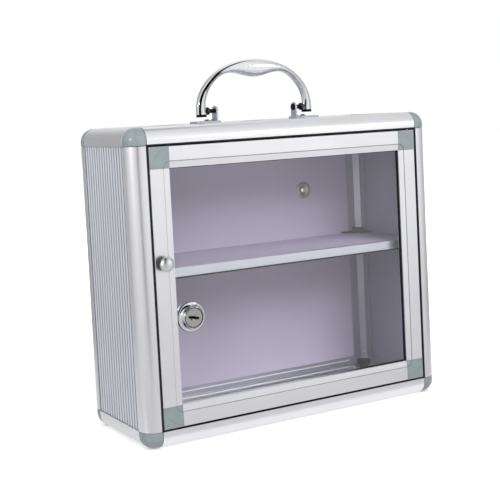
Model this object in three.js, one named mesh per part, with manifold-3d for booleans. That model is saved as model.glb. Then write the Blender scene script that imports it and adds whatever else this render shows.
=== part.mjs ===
// A small wall or carry cabinet for medicine that locks: aluminium edge profiles held together by
// plastic corner blocks, ribbed panels, one shelf, a framed clear door with a pull knob and a
// quarter turn cam lock, and a folding carry handle on top.
// Millimetres. X runs to the right, Y from front to back, Z up. The origin is at the bottom,
// in the middle of everything that the cabinet covers from above.

import * as THREE from 'three';
import { ConvexGeometry } from 'three/addons/geometries/ConvexGeometry.js';
import { mergeVertices } from 'three/addons/utils/BufferGeometryUtils.js';
import Module from 'manifold-3d';

const wasm = await Module();
wasm.setup();

// Cabinet, outside
const cabinetWidth = 320;
const cabinetHeight = 280;
const cabinetDepth = 120;

// Edge profiles: a quarter round with a slot for each panel and a flange behind it
const edgeReach = 16;
const edgeRadius = 12;
const edgeWall = 1.3;
const lipThickness = 1.2;
const slotDepth = 5.5;
const flangeThickness = 1.2;
const flangeOverhang = 3.5;
const chamferLeg = 4.9;
const jointGap = 0.25;

// Panels
const panelThickness = 3.5;
const panelClearance = 0.3;
const ribHeight = 0.6;
const ribRoot = 0.4;
const ribCount = 16;
const ribWidthShare = 0.62;

// Corner blocks
const cornerInnerCut = 7;
const spigotClearance = 0.3;
const spigotLength = 10;
const spigotRoot = 1;

// Door frame and pane
const doorGap = 1.3;
const doorThickness = 8;
const doorRail = 19;
const doorWall = 1.4;
const doorEdgeBreak = 0.4;
const beadWidth = 6.3;
const beadDrop = 0.3;
const beadFall = 0.6;
const grooveWidth = 0.6;
const grooveDepth = 0.7;
const paneThickness = 2.5;
const gasketWall = 0.6;
const gasketShow = 0.6;
const seatGap = 0.15;
const glazingSlotDepth = 5.6;
const glazingFrontLip = 2.3;
const doorSpigotGap = 0.3;
const doorSpigotLength = 12;

// Door stop and hinge pins
const stopGap = 2.8;
const stopThickness = 1.2;
const hingeFromEdge = 5.5;
const hingeFromFront = 3.3;
const hingePinRadius = 1.5;
const hingePinReach = 7;
const pinClearance = 0.3;

// Shelf
const shelfTop = 154;
const shelfThickness = 5;
const shelfSideGap = 0.3;
const shelfCornerClip = 24.5;
const trimHeight = 8;
const trimWall = 0.8;
const trimWrap = 6;
const trimGap = 0.2;
const shelfFrontGap = 0.5;
const ledgeLength = 40;
const ledgeLeg = 9;
const ledgeWall = 1.5;
const ledgeGap = 0.3;

// Knob
const knobFromEdge = 8.2;
const knobHeight = 162;
const knobHeadRadius = 6.5;
const knobStemRadius = 3;
const knobStemLength = 4.5;
const knobHeadLength = 6.5;
const knobRimLength = 2;
const knobScrewRadius = 1.5;
const knobScrewBite = 4;
const knobScrewHeadRadius = 3;
const knobScrewHeadLength = 1.6;

// Lock
const lockFromEdge = 33;
const lockHeight = 112;
const lockFlangeRadius = 13.3;
const lockFrontRadius = 9.3;
const lockFlangeRim = 0.9;
const lockProud = 5.8;
const barrelRadius = 9.75;
const barrelEndFromCam = 0.4;
const plugRadius = 8.2;
const plugGap = 0.3;
const plugSink = 0.25;
const keywayWidth = 10.5;
const keywayHeight = 2;
const keywayDepth = 7;
const keywayTurn = THREE.MathUtils.degToRad(12);
const dimpleRadius = 2.4;
const dimpleDepth = 1;
const lockNutRadius = 13;
const lockNutSides = 6;
const lockNutThickness = 3.4;
const camGap = 1.6;
const camThickness = 1.6;
const camCatch = 1.7;
const camHalfWidth = 4;
const camHubRadius = 8;
const camSquare = 7;
const camSeatGap = 0.3;
const camTurn = THREE.MathUtils.degToRad(30);
const camScrewRadius = 3.5;
const camScrewHeadLength = 1.8;
const plugTailLength = 2;

// Hanging holes in the back panel
const bushX = 85;
const bushAboveShelf = 50;
const bushFlangeRadius = 8.2;
const bushFlangeThickness = 1.8;
const bushSleeveRadius = 4.5;
const bushHoleRadius = 2.2;
const bushDishRadius = 5.2;

// Handle brackets
const plateLength = 24.5;
const plateBeyondHandle = 3.6;
const plateHalfWidth = 10;
const plateThickness = 2.4;
const plateCorner = 3;
const lugInset = 0.7;
const lugThickness = 1.6;
const lugHalfWidth = 4.6;
const pivotAboveTop = 11;
const pivotPinRadius = 2;
const pivotPinHeadRadius = 3.2;
const pivotPinHeadLength = 1.4;
const rivetFromInnerEnd = 7.1;
const rivetFromEdge = 3.6;
const rivetRadius = 1.6;
const rivetHeadRadius = 3.1;
const rivetHeadHeight = 1.5;
const rivetTailHeight = 1.2;

// Handle
const handleHalfWidth = 63.4;
const handleRise = 47.5;
const handleEndDrop = 5.5;
const legThickness = 9.8;
const legHalfDepth = 3.8;
const legTaperPower = 1.6;
const gripThickness = 4.5;
const gripBulge = 12.5;
const gripBulgeHalfLength = 44;
const gripHalfDepth = 7.6;
const gripSquareness = 2.5;
const legPinDepth = 6.8;
const legPinEnd = 6.3;

// Facets
const edgeArcSteps = 6;
const sphereSteps = 5;
const roundSides = 24;
const smallRoundSides = 16;
const ribArcSteps = 4;
const handleSteps = 44;
const handleSides = 12;
const domeSteps = 6;

// One value for the length by which a cutter runs past what it cuts
const overrun = 1;

// Places worked out from the sizes above
const slotInner = lipThickness + panelThickness + panelClearance * 2;
const innerFace = slotInner + flangeThickness;
const slotFloor = edgeReach - slotDepth;
const flangeEnd = edgeReach + flangeOverhang;
const panelOuter = lipThickness + panelClearance;
const panelInner = panelOuter + panelThickness;
const panelEdge = slotFloor + panelClearance;
const hollowRadius = edgeRadius - edgeWall;
const hollowEnd = slotFloor - edgeWall;
const doorStop = doorThickness + stopGap;
const stopBack = doorStop + stopThickness;
const openingWidth = cabinetWidth - edgeReach * 2;
const openingHeight = cabinetHeight - edgeReach * 2;
const doorWidth = openingWidth - doorGap * 2;
const doorHeight = openingHeight - doorGap * 2;
const doorBottom = edgeReach + doorGap;
const glazingFloor = doorRail - glazingSlotDepth;
const glazingBack = glazingFrontLip + paneThickness + gasketWall * 2 + seatGap * 4;
const gasketOuter = glazingFloor + seatGap;
const gasketFront = glazingFrontLip + seatGap;
const gasketBack = glazingBack - seatGap;
const paneEdge = gasketOuter + gasketWall + seatGap;
const paneFront = gasketFront + gasketWall + seatGap;
const paneBack = paneFront + paneThickness;
const beadStart = doorRail - beadWidth;
const camFront = stopBack + camGap;
const camBack = camFront + camThickness;
const cornerSpan = edgeReach - jointGap;
const chamferSum = innerFace * 2 + chamferLeg;
const wallAtSlant = edgeWall * Math.SQRT2;
const profileEnds = edgeReach + jointGap / 2;
const hingeX = doorWidth / 2 - hingeFromEdge;
const lockX = lockFromEdge - doorWidth / 2;
const stopOverlap = flangeOverhang - doorGap;
const camReach = lockFromEdge - stopOverlap + camCatch;
const camSpan = camReach - camHalfWidth;
const bushHeight = shelfTop + bushAboveShelf;
const pivotHeight = cabinetHeight + pivotAboveTop;
const plateOuterX = handleHalfWidth + plateBeyondHandle;
const plateInnerX = plateOuterX - plateLength;
const lugInnerX = plateInnerX + lugInset;
const rivetX = plateInnerX + rivetFromInnerEnd;
const rivetY = plateHalfWidth - rivetFromEdge;
const legInnerX = handleHalfWidth - legThickness;

// Materials
const satinAluminium = { color: 0xd9dade, roughness: 0.34, metalness: 0.9, flatShading: true };
const ribbedAluminium = { color: 0xc6c9d6, roughness: 0.4, metalness: 0.75, flatShading: true };
const greyPlastic = { color: 0x9aa6a4, roughness: 0.5, metalness: 0, flatShading: true };
const lilacPanel = { color: 0xb0a8c0, roughness: 0.6, metalness: 0.1, flatShading: true };
const shelfPanel = { color: 0xa89fb4, roughness: 0.55, metalness: 0.1, flatShading: true };
const chrome = { color: 0xe4e6ea, roughness: 0.12, metalness: 1, flatShading: true };
const nickel = { color: 0xb8b6aa, roughness: 0.35, metalness: 0.9, flatShading: true };
const steel = { color: 0xa9abb0, roughness: 0.35, metalness: 0.9, flatShading: true };
const blackRubber = { color: 0x141416, roughness: 0.8, metalness: 0, flatShading: true };
const clearAcrylic = { color: 0xe8eef2, roughness: 0.05, transparent: true, opacity: 0.25 };

// Solids: a closed geometry becomes a solid that can be joined and cut, and comes back as a geometry
function solidOf(geometry) {
  const bare = new THREE.BufferGeometry();
  bare.setAttribute('position', geometry.getAttribute('position').clone());
  if (geometry.index) {
    bare.setIndex(geometry.index.clone());
  }
  const merged = mergeVertices(bare);
  const vertProperties = new Float32Array(merged.getAttribute('position').array);
  const triVerts = new Uint32Array(merged.index.array);
  return new wasm.Manifold(new wasm.Mesh({ numProp: 3, vertProperties, triVerts }));
}

function geometryOf(solid) {
  const mesh = solid.getMesh();
  const geometry = new THREE.BufferGeometry();
  geometry.setAttribute('position', new THREE.BufferAttribute(new Float32Array(mesh.vertProperties), 3));
  geometry.setIndex(new THREE.BufferAttribute(new Uint32Array(mesh.triVerts), 1));
  geometry.computeVertexNormals();
  return geometry;
}

function joined(...geometries) {
  return geometryOf(geometries.map(solidOf).reduce((sum, next) => sum.add(next)));
}

function cut(geometry, ...cutters) {
  return geometryOf(cutters.map(solidOf).reduce((rest, cutter) => rest.subtract(cutter), solidOf(geometry)));
}

// A box from its lowest to its highest corner
function boxBetween([x0, y0, z0], [x1, y1, z1]) {
  const box = new THREE.BoxGeometry(x1 - x0, y1 - y0, z1 - z0);
  return box.translate((x0 + x1) / 2, (y0 + y1) / 2, (z0 + z1) / 2);
}

// Turns that carry a shape drawn in XY and extruded along Z onto another axis without mirroring it
const alongAxis = {
  x: new THREE.Matrix4().set(0, 0, 1, 0, 1, 0, 0, 0, 0, 1, 0, 0, 0, 0, 0, 1),
  y: new THREE.Matrix4().set(0, 1, 0, 0, 0, 0, 1, 0, 1, 0, 0, 0, 0, 0, 0, 1),
  z: new THREE.Matrix4(),
};

// A prism: points are (y, z) along X, (z, x) along Y and (x, y) along Z
function prism(axis, points, from, to, holes = []) {
  const outline = points.map(([a, b]) => new THREE.Vector2(a, b));
  const shape = new THREE.Shape(THREE.ShapeUtils.isClockWise(outline) ? outline.reverse() : outline);
  shape.holes = holes.map((hole) => new THREE.Path(hole.map(([a, b]) => new THREE.Vector2(a, b))));
  const geometry = new THREE.ExtrudeGeometry(shape, { depth: to - from, bevelEnabled: false, steps: 1 });
  return geometry.translate(0, 0, from).applyMatrix4(alongAxis[axis]);
}

// A round bar or cutter along an axis, through a point of the plane across that axis
function bar(axis, [a, b], radius, from, to, sides = roundSides) {
  const geometry = new THREE.CylinderGeometry(radius, radius, to - from, sides);
  geometry.rotateX(Math.PI / 2).translate(a, b, (from + to) / 2);
  return geometry.applyMatrix4(alongAxis[axis]);
}

// A turned piece: the outline is (radius, distance along the axis)
function turned(axis, [a, b], outline, sides = roundSides) {
  const geometry = new THREE.LatheGeometry(outline.map(([r, s]) => new THREE.Vector2(r, s)), sides);
  geometry.rotateX(Math.PI / 2).translate(a, b, 0);
  return geometry.applyMatrix4(alongAxis[axis]);
}

function arcPoints([a, b], radius, start, end, steps) {
  return Array.from({ length: steps + 1 }, (_, i) => {
    const angle = start + ((end - start) * i) / steps;
    return [a + radius * Math.cos(angle), b + radius * Math.sin(angle)];
  });
}

function circlePoints(centre, radius, sides) {
  return arcPoints(centre, radius, 0, Math.PI * 2, sides).slice(0, sides);
}

function swapped(points) {
  return points.map(([a, b]) => [b, a]);
}

function rectangle([a0, b0], [a1, b1]) {
  return [[a0, b0], [a1, b0], [a1, b1], [a0, b1]];
}

// Naming and placing. The cabinet's pieces are drawn from its left, front, bottom outer corner, with
// all three axes running inwards, and the door's the same way from its own corner. A piece of the
// opposite side, back or top is the same drawing mirrored.
function named(name, geometry, finish) {
  const mesh = new THREE.Mesh(geometry, new THREE.MeshStandardMaterial(finish));
  mesh.name = name;
  return mesh;
}

function fromCabinetCorner(mesh, side, face, level) {
  mesh.position.x = side * cabinetWidth / 2;
  mesh.position.y = face === 'front' ? 0 : cabinetDepth;
  mesh.position.z = level === 'bottom' ? 0 : cabinetHeight;
  mesh.scale.set(-side, face === 'front' ? 1 : -1, level === 'bottom' ? 1 : -1);
  return mesh;
}

function fromDoorCorner(mesh, side, level) {
  mesh.position.x = side * doorWidth / 2;
  mesh.position.z = level === 'bottom' ? doorBottom : doorBottom + doorHeight;
  mesh.scale.set(-side, 1, level === 'bottom' ? 1 : -1);
  return mesh;
}

const left = -1;
const right = 1;
const sideName = { [left]: 'left', [right]: 'right' };

// Edge profile sections, (distance from one outer face, distance from the other)
function roundedCorner() {
  return arcPoints([edgeRadius, edgeRadius], edgeRadius, Math.PI * 1.5, Math.PI, edgeArcSteps);
}

function sideSlot() {
  return [
    [0, edgeReach],
    [lipThickness, edgeReach],
    [lipThickness, slotFloor],
    [slotInner, slotFloor],
    [slotInner, flangeEnd],
    [innerFace, flangeEnd],
  ];
}

function rearSection() {
  return [
    [edgeReach, 0],
    ...roundedCorner(),
    ...sideSlot(),
    [innerFace, innerFace + chamferLeg],
    [innerFace + chamferLeg, innerFace],
    ...swapped(sideSlot().reverse().slice(0, -1)),
  ];
}

function rearHollow() {
  const slantSum = chamferSum - wallAtSlant;
  const start = Math.asin((edgeRadius - hollowEnd) / hollowRadius);
  const centre = [edgeRadius, edgeRadius];
  return [
    ...arcPoints(centre, hollowRadius, Math.PI * 1.5 - start, Math.PI + start, edgeArcSteps),
    [slantSum - hollowEnd, hollowEnd],
    [hollowEnd, slantSum - hollowEnd],
  ];
}

function frontSection() {
  return [
    [edgeReach, 0],
    ...roundedCorner(),
    ...sideSlot(),
    [innerFace, stopBack],
    [flangeEnd, stopBack],
    [flangeEnd, doorStop],
    [edgeReach, doorStop],
  ];
}

function frontHollow() {
  const start = Math.asin((edgeRadius - hollowEnd) / hollowRadius);
  const centre = [edgeRadius, edgeRadius];
  return [
    ...arcPoints(centre, hollowRadius, Math.PI * 1.5, Math.PI + start, edgeArcSteps),
    [edgeReach - edgeWall, hollowEnd],
    [edgeReach - edgeWall, edgeWall],
  ];
}

// Flanges of two profiles that meet at a corner of a face: the second one stops short of the first
function flangeTrims(axis, length) {
  const trimLength = flangeOverhang + jointGap;
  const low = edgeReach + jointGap / 2;
  const high = flangeEnd + overrun;
  const starts = [edgeReach - overrun, length - edgeReach - trimLength];
  return starts.flatMap((start) => {
    const end = start + trimLength + overrun;
    if (axis === 'x') {
      return [boxBetween([start, -overrun, low], [end, high, high])];
    }
    return [
      boxBetween([low, start, -overrun], [high, end, high]),
      boxBetween([-overrun, start, low], [high, end, high]),
    ];
  });
}

function uprightProfile(section, hollow) {
  return prism('z', section, profileEnds, cabinetHeight - profileEnds, [hollow]);
}

function crossProfile(section, hollow) {
  const blank = prism('x', swapped(section), profileEnds, cabinetWidth - profileEnds, [swapped(hollow)]);
  return cut(blank, ...flangeTrims('x', cabinetWidth));
}

function depthProfile(section, hollow) {
  const blank = prism('y', section, profileEnds, cabinetDepth - profileEnds, [hollow]);
  return cut(blank, ...flangeTrims('y', cabinetDepth));
}

function hingeHole(geometry) {
  const along = cabinetWidth / 2 - hingeX;
  const radius = hingePinRadius + pinClearance;
  return cut(
    geometry,
    bar('z', [along, hingeFromFront], radius, hollowEnd, edgeReach + overrun, smallRoundSides),
  );
}

function edgeProfiles() {
  const meshes = [];
  for (const side of [left, right]) {
    const frontShape = uprightProfile(frontSection(), frontHollow());
    const rearShape = uprightProfile(rearSection(), rearHollow());
    const front = named(`front_profile_${sideName[side]}`, frontShape, satinAluminium);
    const rear = named(`rear_profile_${sideName[side]}`, rearShape, satinAluminium);
    meshes.push(fromCabinetCorner(front, side, 'front', 'bottom'));
    meshes.push(fromCabinetCorner(rear, side, 'rear', 'bottom'));
  }
  for (const level of ['bottom', 'top']) {
    const frontShape = hingeHole(crossProfile(frontSection(), frontHollow()));
    const front = named(`front_profile_${level}`, frontShape, satinAluminium);
    const rear = named(`rear_profile_${level}`, crossProfile(rearSection(), rearHollow()), satinAluminium);
    meshes.push(fromCabinetCorner(front, right, 'front', level));
    meshes.push(fromCabinetCorner(rear, right, 'rear', level));
    for (const side of [left, right]) {
      const depthShape = depthProfile(rearSection(), rearHollow());
      const depth = named(`depth_profile_${level}_${sideName[side]}`, depthShape, satinAluminium);
      meshes.push(fromCabinetCorner(depth, side, 'front', level));
    }
  }
  return meshes;
}

// Corner blocks: a ball corner outside, cut off towards the inside, with a slot for each panel that
// meets there and a spigot in each of the three profiles
function ballCorner() {
  const points = [];
  const far = cornerSpan;
  const near = far - cornerInnerCut;
  const addPoint = (...place) => points.push(new THREE.Vector3(...place));
  for (let i = 0; i <= sphereSteps; i += 1) {
    const polar = (Math.PI / 2) * (i / sphereSteps);
    for (let j = 0; j <= sphereSteps; j += 1) {
      const around = (Math.PI / 2) * (j / sphereSteps);
      const direction = [
        Math.sin(polar) * Math.cos(around),
        Math.sin(polar) * Math.sin(around),
        Math.cos(polar),
      ];
      addPoint(...direction.map((d) => edgeRadius - edgeRadius * d));
    }
  }
  for (const [a, b] of arcPoints([edgeRadius, edgeRadius], edgeRadius, Math.PI, Math.PI * 1.5, sphereSteps)) {
    addPoint(a, b, far);
    addPoint(far, a, b);
    addPoint(a, far, b);
  }
  for (const level of [0, near]) {
    addPoint(level, far, far);
    addPoint(far, level, far);
    addPoint(far, far, level);
  }
  return new ConvexGeometry(points);
}

function cornerBlock(face) {
  const low = slotFloor;
  const high = edgeReach + overrun;
  const slots = [
    boxBetween([lipThickness, low, low], [slotInner, high, high]),
    boxBetween([low, low, lipThickness], [high, high, slotInner]),
  ];
  if (face === 'rear') {
    slots.push(boxBetween([low, lipThickness, low], [high, slotInner, high]));
  }
  const near = edgeRadius - hollowRadius * Math.SQRT1_2 + spigotClearance;
  const wide = (chamferSum - wallAtSlant) / 2 - spigotClearance;
  const root = cornerSpan - spigotRoot;
  const tip = edgeReach + spigotLength;
  const spigots = [
    boxBetween([root, near, near], [tip, wide, wide]),
    boxBetween([near, root, near], [wide, tip, wide]),
    boxBetween([near, near, root], [wide, wide, tip]),
  ];
  return joined(cut(ballCorner(), ...slots), ...spigots);
}

function cornerBlocks() {
  const meshes = [];
  for (const face of ['front', 'rear']) {
    for (const level of ['bottom', 'top']) {
      for (const side of [left, right]) {
        const block = named(`corner_${face}_${level}_${sideName[side]}`, cornerBlock(face), greyPlastic);
        meshes.push(fromCabinetCorner(block, side, face, level));
      }
    }
  }
  return meshes;
}

// Panels: a plate in the profiles' slots with half round ribs on the face that shows
function ribPlaces(length) {
  const pitch = (length - edgeReach * 2) / ribCount;
  return Array.from({ length: ribCount }, (_, i) => edgeReach + pitch * (i + 1 / 2));
}

const ribHalfWidth = ((cabinetDepth - edgeReach * 2) / ribCount) * (ribWidthShare / 2);

function ribOutline(place) {
  const crest = arcPoints([0, 0], 1, 0, Math.PI, ribArcSteps);
  const top = crest.map(([a, b]) => [place + a * ribHalfWidth, panelOuter - b * ribHeight]);
  const foot = panelOuter + ribRoot;
  return [...top, [place - ribHalfWidth, foot], [place + ribHalfWidth, foot]];
}

function sidePanel() {
  const plate = boxBetween(
    [panelOuter, panelEdge, panelEdge],
    [panelInner, cabinetDepth - panelEdge, cabinetHeight - panelEdge],
  );
  const from = edgeReach + jointGap;
  const ribs = ribPlaces(cabinetDepth).map((place) =>
    prism('z', swapped(ribOutline(place)), from, cabinetHeight - from));
  return joined(plate, ...ribs);
}

function levelPanel() {
  const plate = boxBetween(
    [panelEdge, panelEdge, panelOuter],
    [cabinetWidth - panelEdge, cabinetDepth - panelEdge, panelInner],
  );
  const from = edgeReach + jointGap;
  const ribs = ribPlaces(cabinetDepth).map((place) =>
    prism('x', ribOutline(place), from, cabinetWidth - from));
  return joined(plate, ...ribs);
}

function topPanel() {
  const holeRadius = rivetRadius + pinClearance;
  const holes = [left, right].flatMap((side) => [-rivetY, rivetY].map((y) => bar(
    'z',
    [cabinetWidth / 2 + side * rivetX, cabinetDepth / 2 + y],
    holeRadius,
    -overrun,
    panelInner + overrun,
    smallRoundSides,
  )));
  return cut(levelPanel(), ...holes);
}

function backPanel() {
  const outline = rectangle(
    [panelEdge, panelEdge],
    [cabinetHeight - panelEdge, cabinetWidth - panelEdge],
  );
  const holes = [left, right].map((side) => circlePoints(
    [bushHeight, cabinetWidth / 2 + side * bushX],
    bushSleeveRadius + pinClearance,
    smallRoundSides,
  ));
  return prism('y', outline, panelOuter, panelInner, holes);
}

function panels() {
  return [
    fromCabinetCorner(named('side_panel_left', sidePanel(), ribbedAluminium), left, 'front', 'bottom'),
    fromCabinetCorner(named('side_panel_right', sidePanel(), ribbedAluminium), right, 'front', 'bottom'),
    fromCabinetCorner(named('bottom_panel', levelPanel(), ribbedAluminium), left, 'front', 'bottom'),
    fromCabinetCorner(named('top_panel', topPanel(), ribbedAluminium), left, 'front', 'top'),
    fromCabinetCorner(named('back_panel', backPanel(), lilacPanel), left, 'rear', 'bottom'),
  ];
}

// Bushes that line the two hanging holes
function hangingBush(side) {
  const flangeBack = cabinetDepth - panelInner - panelClearance;
  const flangeFront = flangeBack - bushFlangeThickness;
  const bush = turned('y', [bushHeight, side * bushX], [
    [bushHoleRadius, flangeFront + bushFlangeThickness],
    [bushDishRadius, flangeFront],
    [bushFlangeRadius, flangeFront],
    [bushFlangeRadius, flangeBack],
    [bushSleeveRadius, flangeBack],
    [bushSleeveRadius, cabinetDepth - panelOuter],
    [bushHoleRadius, cabinetDepth - panelOuter],
    [bushHoleRadius, flangeFront + bushFlangeThickness],
  ]);
  return named(`hanging_bush_${sideName[side]}`, bush, nickel);
}

// Shelf with clipped rear corners, its front trim and the two ledges that carry it
const shelfHalfWidth = cabinetWidth / 2 - innerFace - shelfSideGap;
const shelfFront = stopBack + shelfFrontGap;
const shelfBack = cabinetDepth - panelInner - shelfSideGap;
const shelfUnderside = shelfTop - shelfThickness;
const shelfBoardFront = shelfFront + trimWall + trimGap;

function shelf() {
  const outline = [
    [-shelfHalfWidth, shelfBoardFront],
    [shelfHalfWidth, shelfBoardFront],
    [shelfHalfWidth, shelfBack - shelfCornerClip],
    [shelfHalfWidth - shelfCornerClip, shelfBack],
    [-shelfHalfWidth + shelfCornerClip, shelfBack],
    [-shelfHalfWidth, shelfBack - shelfCornerClip],
  ];
  return named('shelf', prism('z', outline, shelfUnderside, shelfTop), shelfPanel);
}

function shelfTrim() {
  const top = shelfTop + trimGap + trimWall;
  const bottom = top - trimHeight;
  const back = shelfFront + trimWrap;
  const wall = shelfFront + trimWall;
  const outline = [
    [shelfFront, bottom],
    [back, bottom],
    [back, shelfUnderside - trimGap],
    [wall, shelfUnderside - trimGap],
    [wall, shelfTop + trimGap],
    [back, shelfTop + trimGap],
    [back, top],
    [shelfFront, top],
  ];
  return named('shelf_front_trim', prism('x', outline, -shelfHalfWidth, shelfHalfWidth), satinAluminium);
}

function shelfLedge(side) {
  const top = shelfUnderside - ledgeGap;
  const wall = cabinetWidth / 2 - panelInner - ledgeGap;
  const inner = wall - ledgeLeg;
  const outline = [
    [top, wall],
    [top, inner],
    [top - ledgeWall, inner],
    [top - ledgeWall, wall - ledgeWall],
    [top - ledgeLeg, wall - ledgeWall],
    [top - ledgeLeg, wall],
  ].map(([z, x]) => [z, side * x]);
  const middle = (shelfFront + shelfBack - shelfCornerClip + trimWrap) / 2;
  const ledge = prism('y', outline, middle - ledgeLength / 2, middle + ledgeLength / 2);
  return named(`shelf_ledge_${sideName[side]}`, ledge, satinAluminium);
}

// Door frame section, (distance from the door's outer edge, distance from its front)
function doorSection() {
  const groove = beadStart;
  const bead = beadStart + grooveWidth;
  return [
    [0, doorEdgeBreak],
    [doorEdgeBreak, 0],
    [groove, 0],
    [groove, grooveDepth],
    [bead, grooveDepth],
    [bead, beadDrop],
    [doorRail, beadDrop + beadFall],
    [doorRail, glazingFrontLip],
    [glazingFloor, glazingFrontLip],
    [glazingFloor, glazingBack],
    [doorRail, glazingBack],
    [doorRail, doorThickness],
    [0, doorThickness],
  ];
}

const doorHollowLow = doorWall;
const doorHollowAcross = glazingFloor - doorWall;
const doorHollowBack = doorThickness - doorWall;

function doorHollow() {
  return rectangle([doorHollowLow, doorHollowLow], [doorHollowAcross, doorHollowBack]);
}

const doorProfileEnds = doorRail + jointGap / 2;
const knobAcross = knobFromEdge;
const knobUp = knobHeight - doorBottom;

function doorStile() {
  return prism('z', doorSection(), doorProfileEnds, doorHeight - doorProfileEnds, [doorHollow()]);
}

function knobStile() {
  const radius = knobScrewRadius + pinClearance;
  const hole = bar('y', [knobUp, knobAcross], radius, -overrun, doorThickness + overrun, smallRoundSides);
  return cut(doorStile(), hole);
}

function doorCrossRail() {
  const section = swapped(doorSection());
  return prism('x', section, doorProfileEnds, doorWidth - doorProfileEnds, [swapped(doorHollow())]);
}

// Door corner block: flat, with the bead's quarter round sunk in its inner corner
function doorCorner(withPinHole) {
  const span = doorRail;
  const body = boxBetween([0, 0, 0], [span, doorThickness, span]);
  const paneSlot = boxBetween(
    [glazingFloor, glazingFrontLip, glazingFloor],
    [span + overrun, glazingBack, span + overrun],
  );
  const bead = bar('y', [span, span], beadWidth, -overrun, beadDrop + beadFall, roundSides);
  const cutters = [paneSlot, bead];
  if (withPinHole) {
    const radius = hingePinRadius + pinClearance;
    const depth = hingePinReach + pinClearance;
    cutters.push(bar('z', [hingeFromEdge, hingeFromFront], radius, -overrun, depth, smallRoundSides));
  }
  const low = doorHollowLow + doorSpigotGap;
  const across = doorHollowAcross - doorSpigotGap;
  const back = doorHollowBack - doorSpigotGap;
  const root = span - spigotRoot;
  const tip = span + doorSpigotLength;
  const spigots = [
    boxBetween([root, low, low], [tip, back, across]),
    boxBetween([low, low, root], [across, back, tip]),
  ];
  return joined(cut(body, ...cutters), ...spigots);
}

function doorFrame() {
  const meshes = [
    fromDoorCorner(named('door_stile_left', knobStile(), satinAluminium), left, 'bottom'),
    fromDoorCorner(named('door_stile_right', doorStile(), satinAluminium), right, 'bottom'),
    fromDoorCorner(named('door_rail_bottom', doorCrossRail(), satinAluminium), left, 'bottom'),
    fromDoorCorner(named('door_rail_top', doorCrossRail(), satinAluminium), left, 'top'),
  ];
  for (const level of ['bottom', 'top']) {
    for (const side of [left, right]) {
      const shape = doorCorner(side === right);
      const block = named(`door_corner_${level}_${sideName[side]}`, shape, greyPlastic);
      meshes.push(fromDoorCorner(block, side, level));
    }
  }
  return meshes;
}

// Pane and its gasket, (z, x) outlines extruded from front to back
function doorOutline(inset) {
  return rectangle(
    [doorBottom + inset, -doorWidth / 2 + inset],
    [doorBottom + doorHeight - inset, doorWidth / 2 - inset],
  );
}

function pane() {
  const lockHole = circlePoints([lockHeight, lockX], barrelRadius + pinClearance, roundSides);
  return named('door_pane', prism('y', doorOutline(paneEdge), paneFront, paneBack, [lockHole]), clearAcrylic);
}

function gasket() {
  const opening = doorOutline(doorRail + gasketShow);
  const web = doorOutline(gasketOuter + gasketWall);
  const outer = doorOutline(gasketOuter);
  return named('door_gasket', joined(
    prism('y', outer, gasketFront, gasketFront + gasketWall, [opening]),
    prism('y', outer, gasketBack - gasketWall, gasketBack, [opening]),
    prism('y', outer, gasketFront, gasketBack, [web]),
  ), blackRubber);
}

// Knob and the screw that holds it from behind the stile
const knobX = -doorWidth / 2 + knobAcross;

function knob() {
  const headBack = -knobStemLength;
  const rim = headBack - knobRimLength;
  const domeLength = knobHeadLength - knobRimLength;
  const dome = arcPoints([0, 0], 1, Math.PI / 2, 0, domeSteps)
    .map(([a, b]) => [b * knobHeadRadius, rim - a * domeLength])
    .reverse();
  const boreRadius = knobScrewRadius + pinClearance;
  const base = -jointGap;
  return named('knob', turned('y', [knobHeight, knobX], [
    ...dome,
    [knobHeadRadius, headBack],
    [knobStemRadius, headBack],
    [knobStemRadius, base],
    [boreRadius, base],
    [boreRadius, base - knobScrewBite],
    [0, base - knobScrewBite],
  ]), chrome);
}

function knobScrew() {
  const headFront = doorThickness + jointGap;
  return named('knob_screw', turned('y', [knobHeight, knobX], [
    [0, pinClearance - knobScrewBite],
    [knobScrewRadius, pinClearance - knobScrewBite],
    [knobScrewRadius, headFront],
    [knobScrewHeadRadius, headFront],
    [knobScrewHeadRadius, headFront + knobScrewHeadLength],
    [0, headFront + knobScrewHeadLength],
  ], smallRoundSides), steel);
}

// Lock: flanged body through the pane, its nut, the plug that the key turns, and the cam
const lockCentre = [lockHeight, lockX];
const lockFlangeBack = paneFront - panelClearance;
const lockFace = lockFlangeBack - lockProud;
const barrelEnd = camFront - barrelEndFromCam;
const plugBore = plugRadius + plugGap;

function lockBody() {
  return named('lock_body', turned('y', lockCentre, [
    [plugBore, lockFace],
    [lockFrontRadius, lockFace],
    [lockFlangeRadius, lockFlangeBack - lockFlangeRim],
    [lockFlangeRadius, lockFlangeBack],
    [barrelRadius, lockFlangeBack],
    [barrelRadius, barrelEnd],
    [plugBore, barrelEnd],
    [plugBore, lockFace],
  ]), chrome);
}

function lockNut() {
  const front = paneBack + panelClearance;
  const hexagon = circlePoints(lockCentre, lockNutRadius, lockNutSides);
  const hole = circlePoints(lockCentre, barrelRadius + pinClearance, roundSides);
  return named('lock_nut', prism('y', hexagon, front, front + lockNutThickness, [hole]), steel);
}

function lockPlug() {
  const face = lockFace + plugSink;
  const body = bar('y', [0, 0], plugRadius, face, barrelEnd);
  const tailHalf = camSquare / 2 - camSeatGap;
  const tailEnd = camBack + plugTailLength;
  const tail = boxBetween([-tailHalf, barrelEnd - overrun, -tailHalf], [tailHalf, tailEnd, tailHalf]);
  tail.rotateY(camTurn);
  const keyway = boxBetween(
    [-keywayWidth / 2, face - overrun, -keywayHeight / 2],
    [keywayWidth / 2, face + keywayDepth, keywayHeight / 2],
  ).rotateY(keywayTurn);
  const dimple = turned('y', [0, 0], [
    [0, face - dimpleDepth],
    [dimpleRadius * 2, face - dimpleDepth],
    [0, face + dimpleDepth],
  ], smallRoundSides);
  const plug = cut(joined(body, tail), keyway, dimple);
  return named('lock_plug', plug.translate(lockX, 0, lockHeight), nickel);
}

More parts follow.
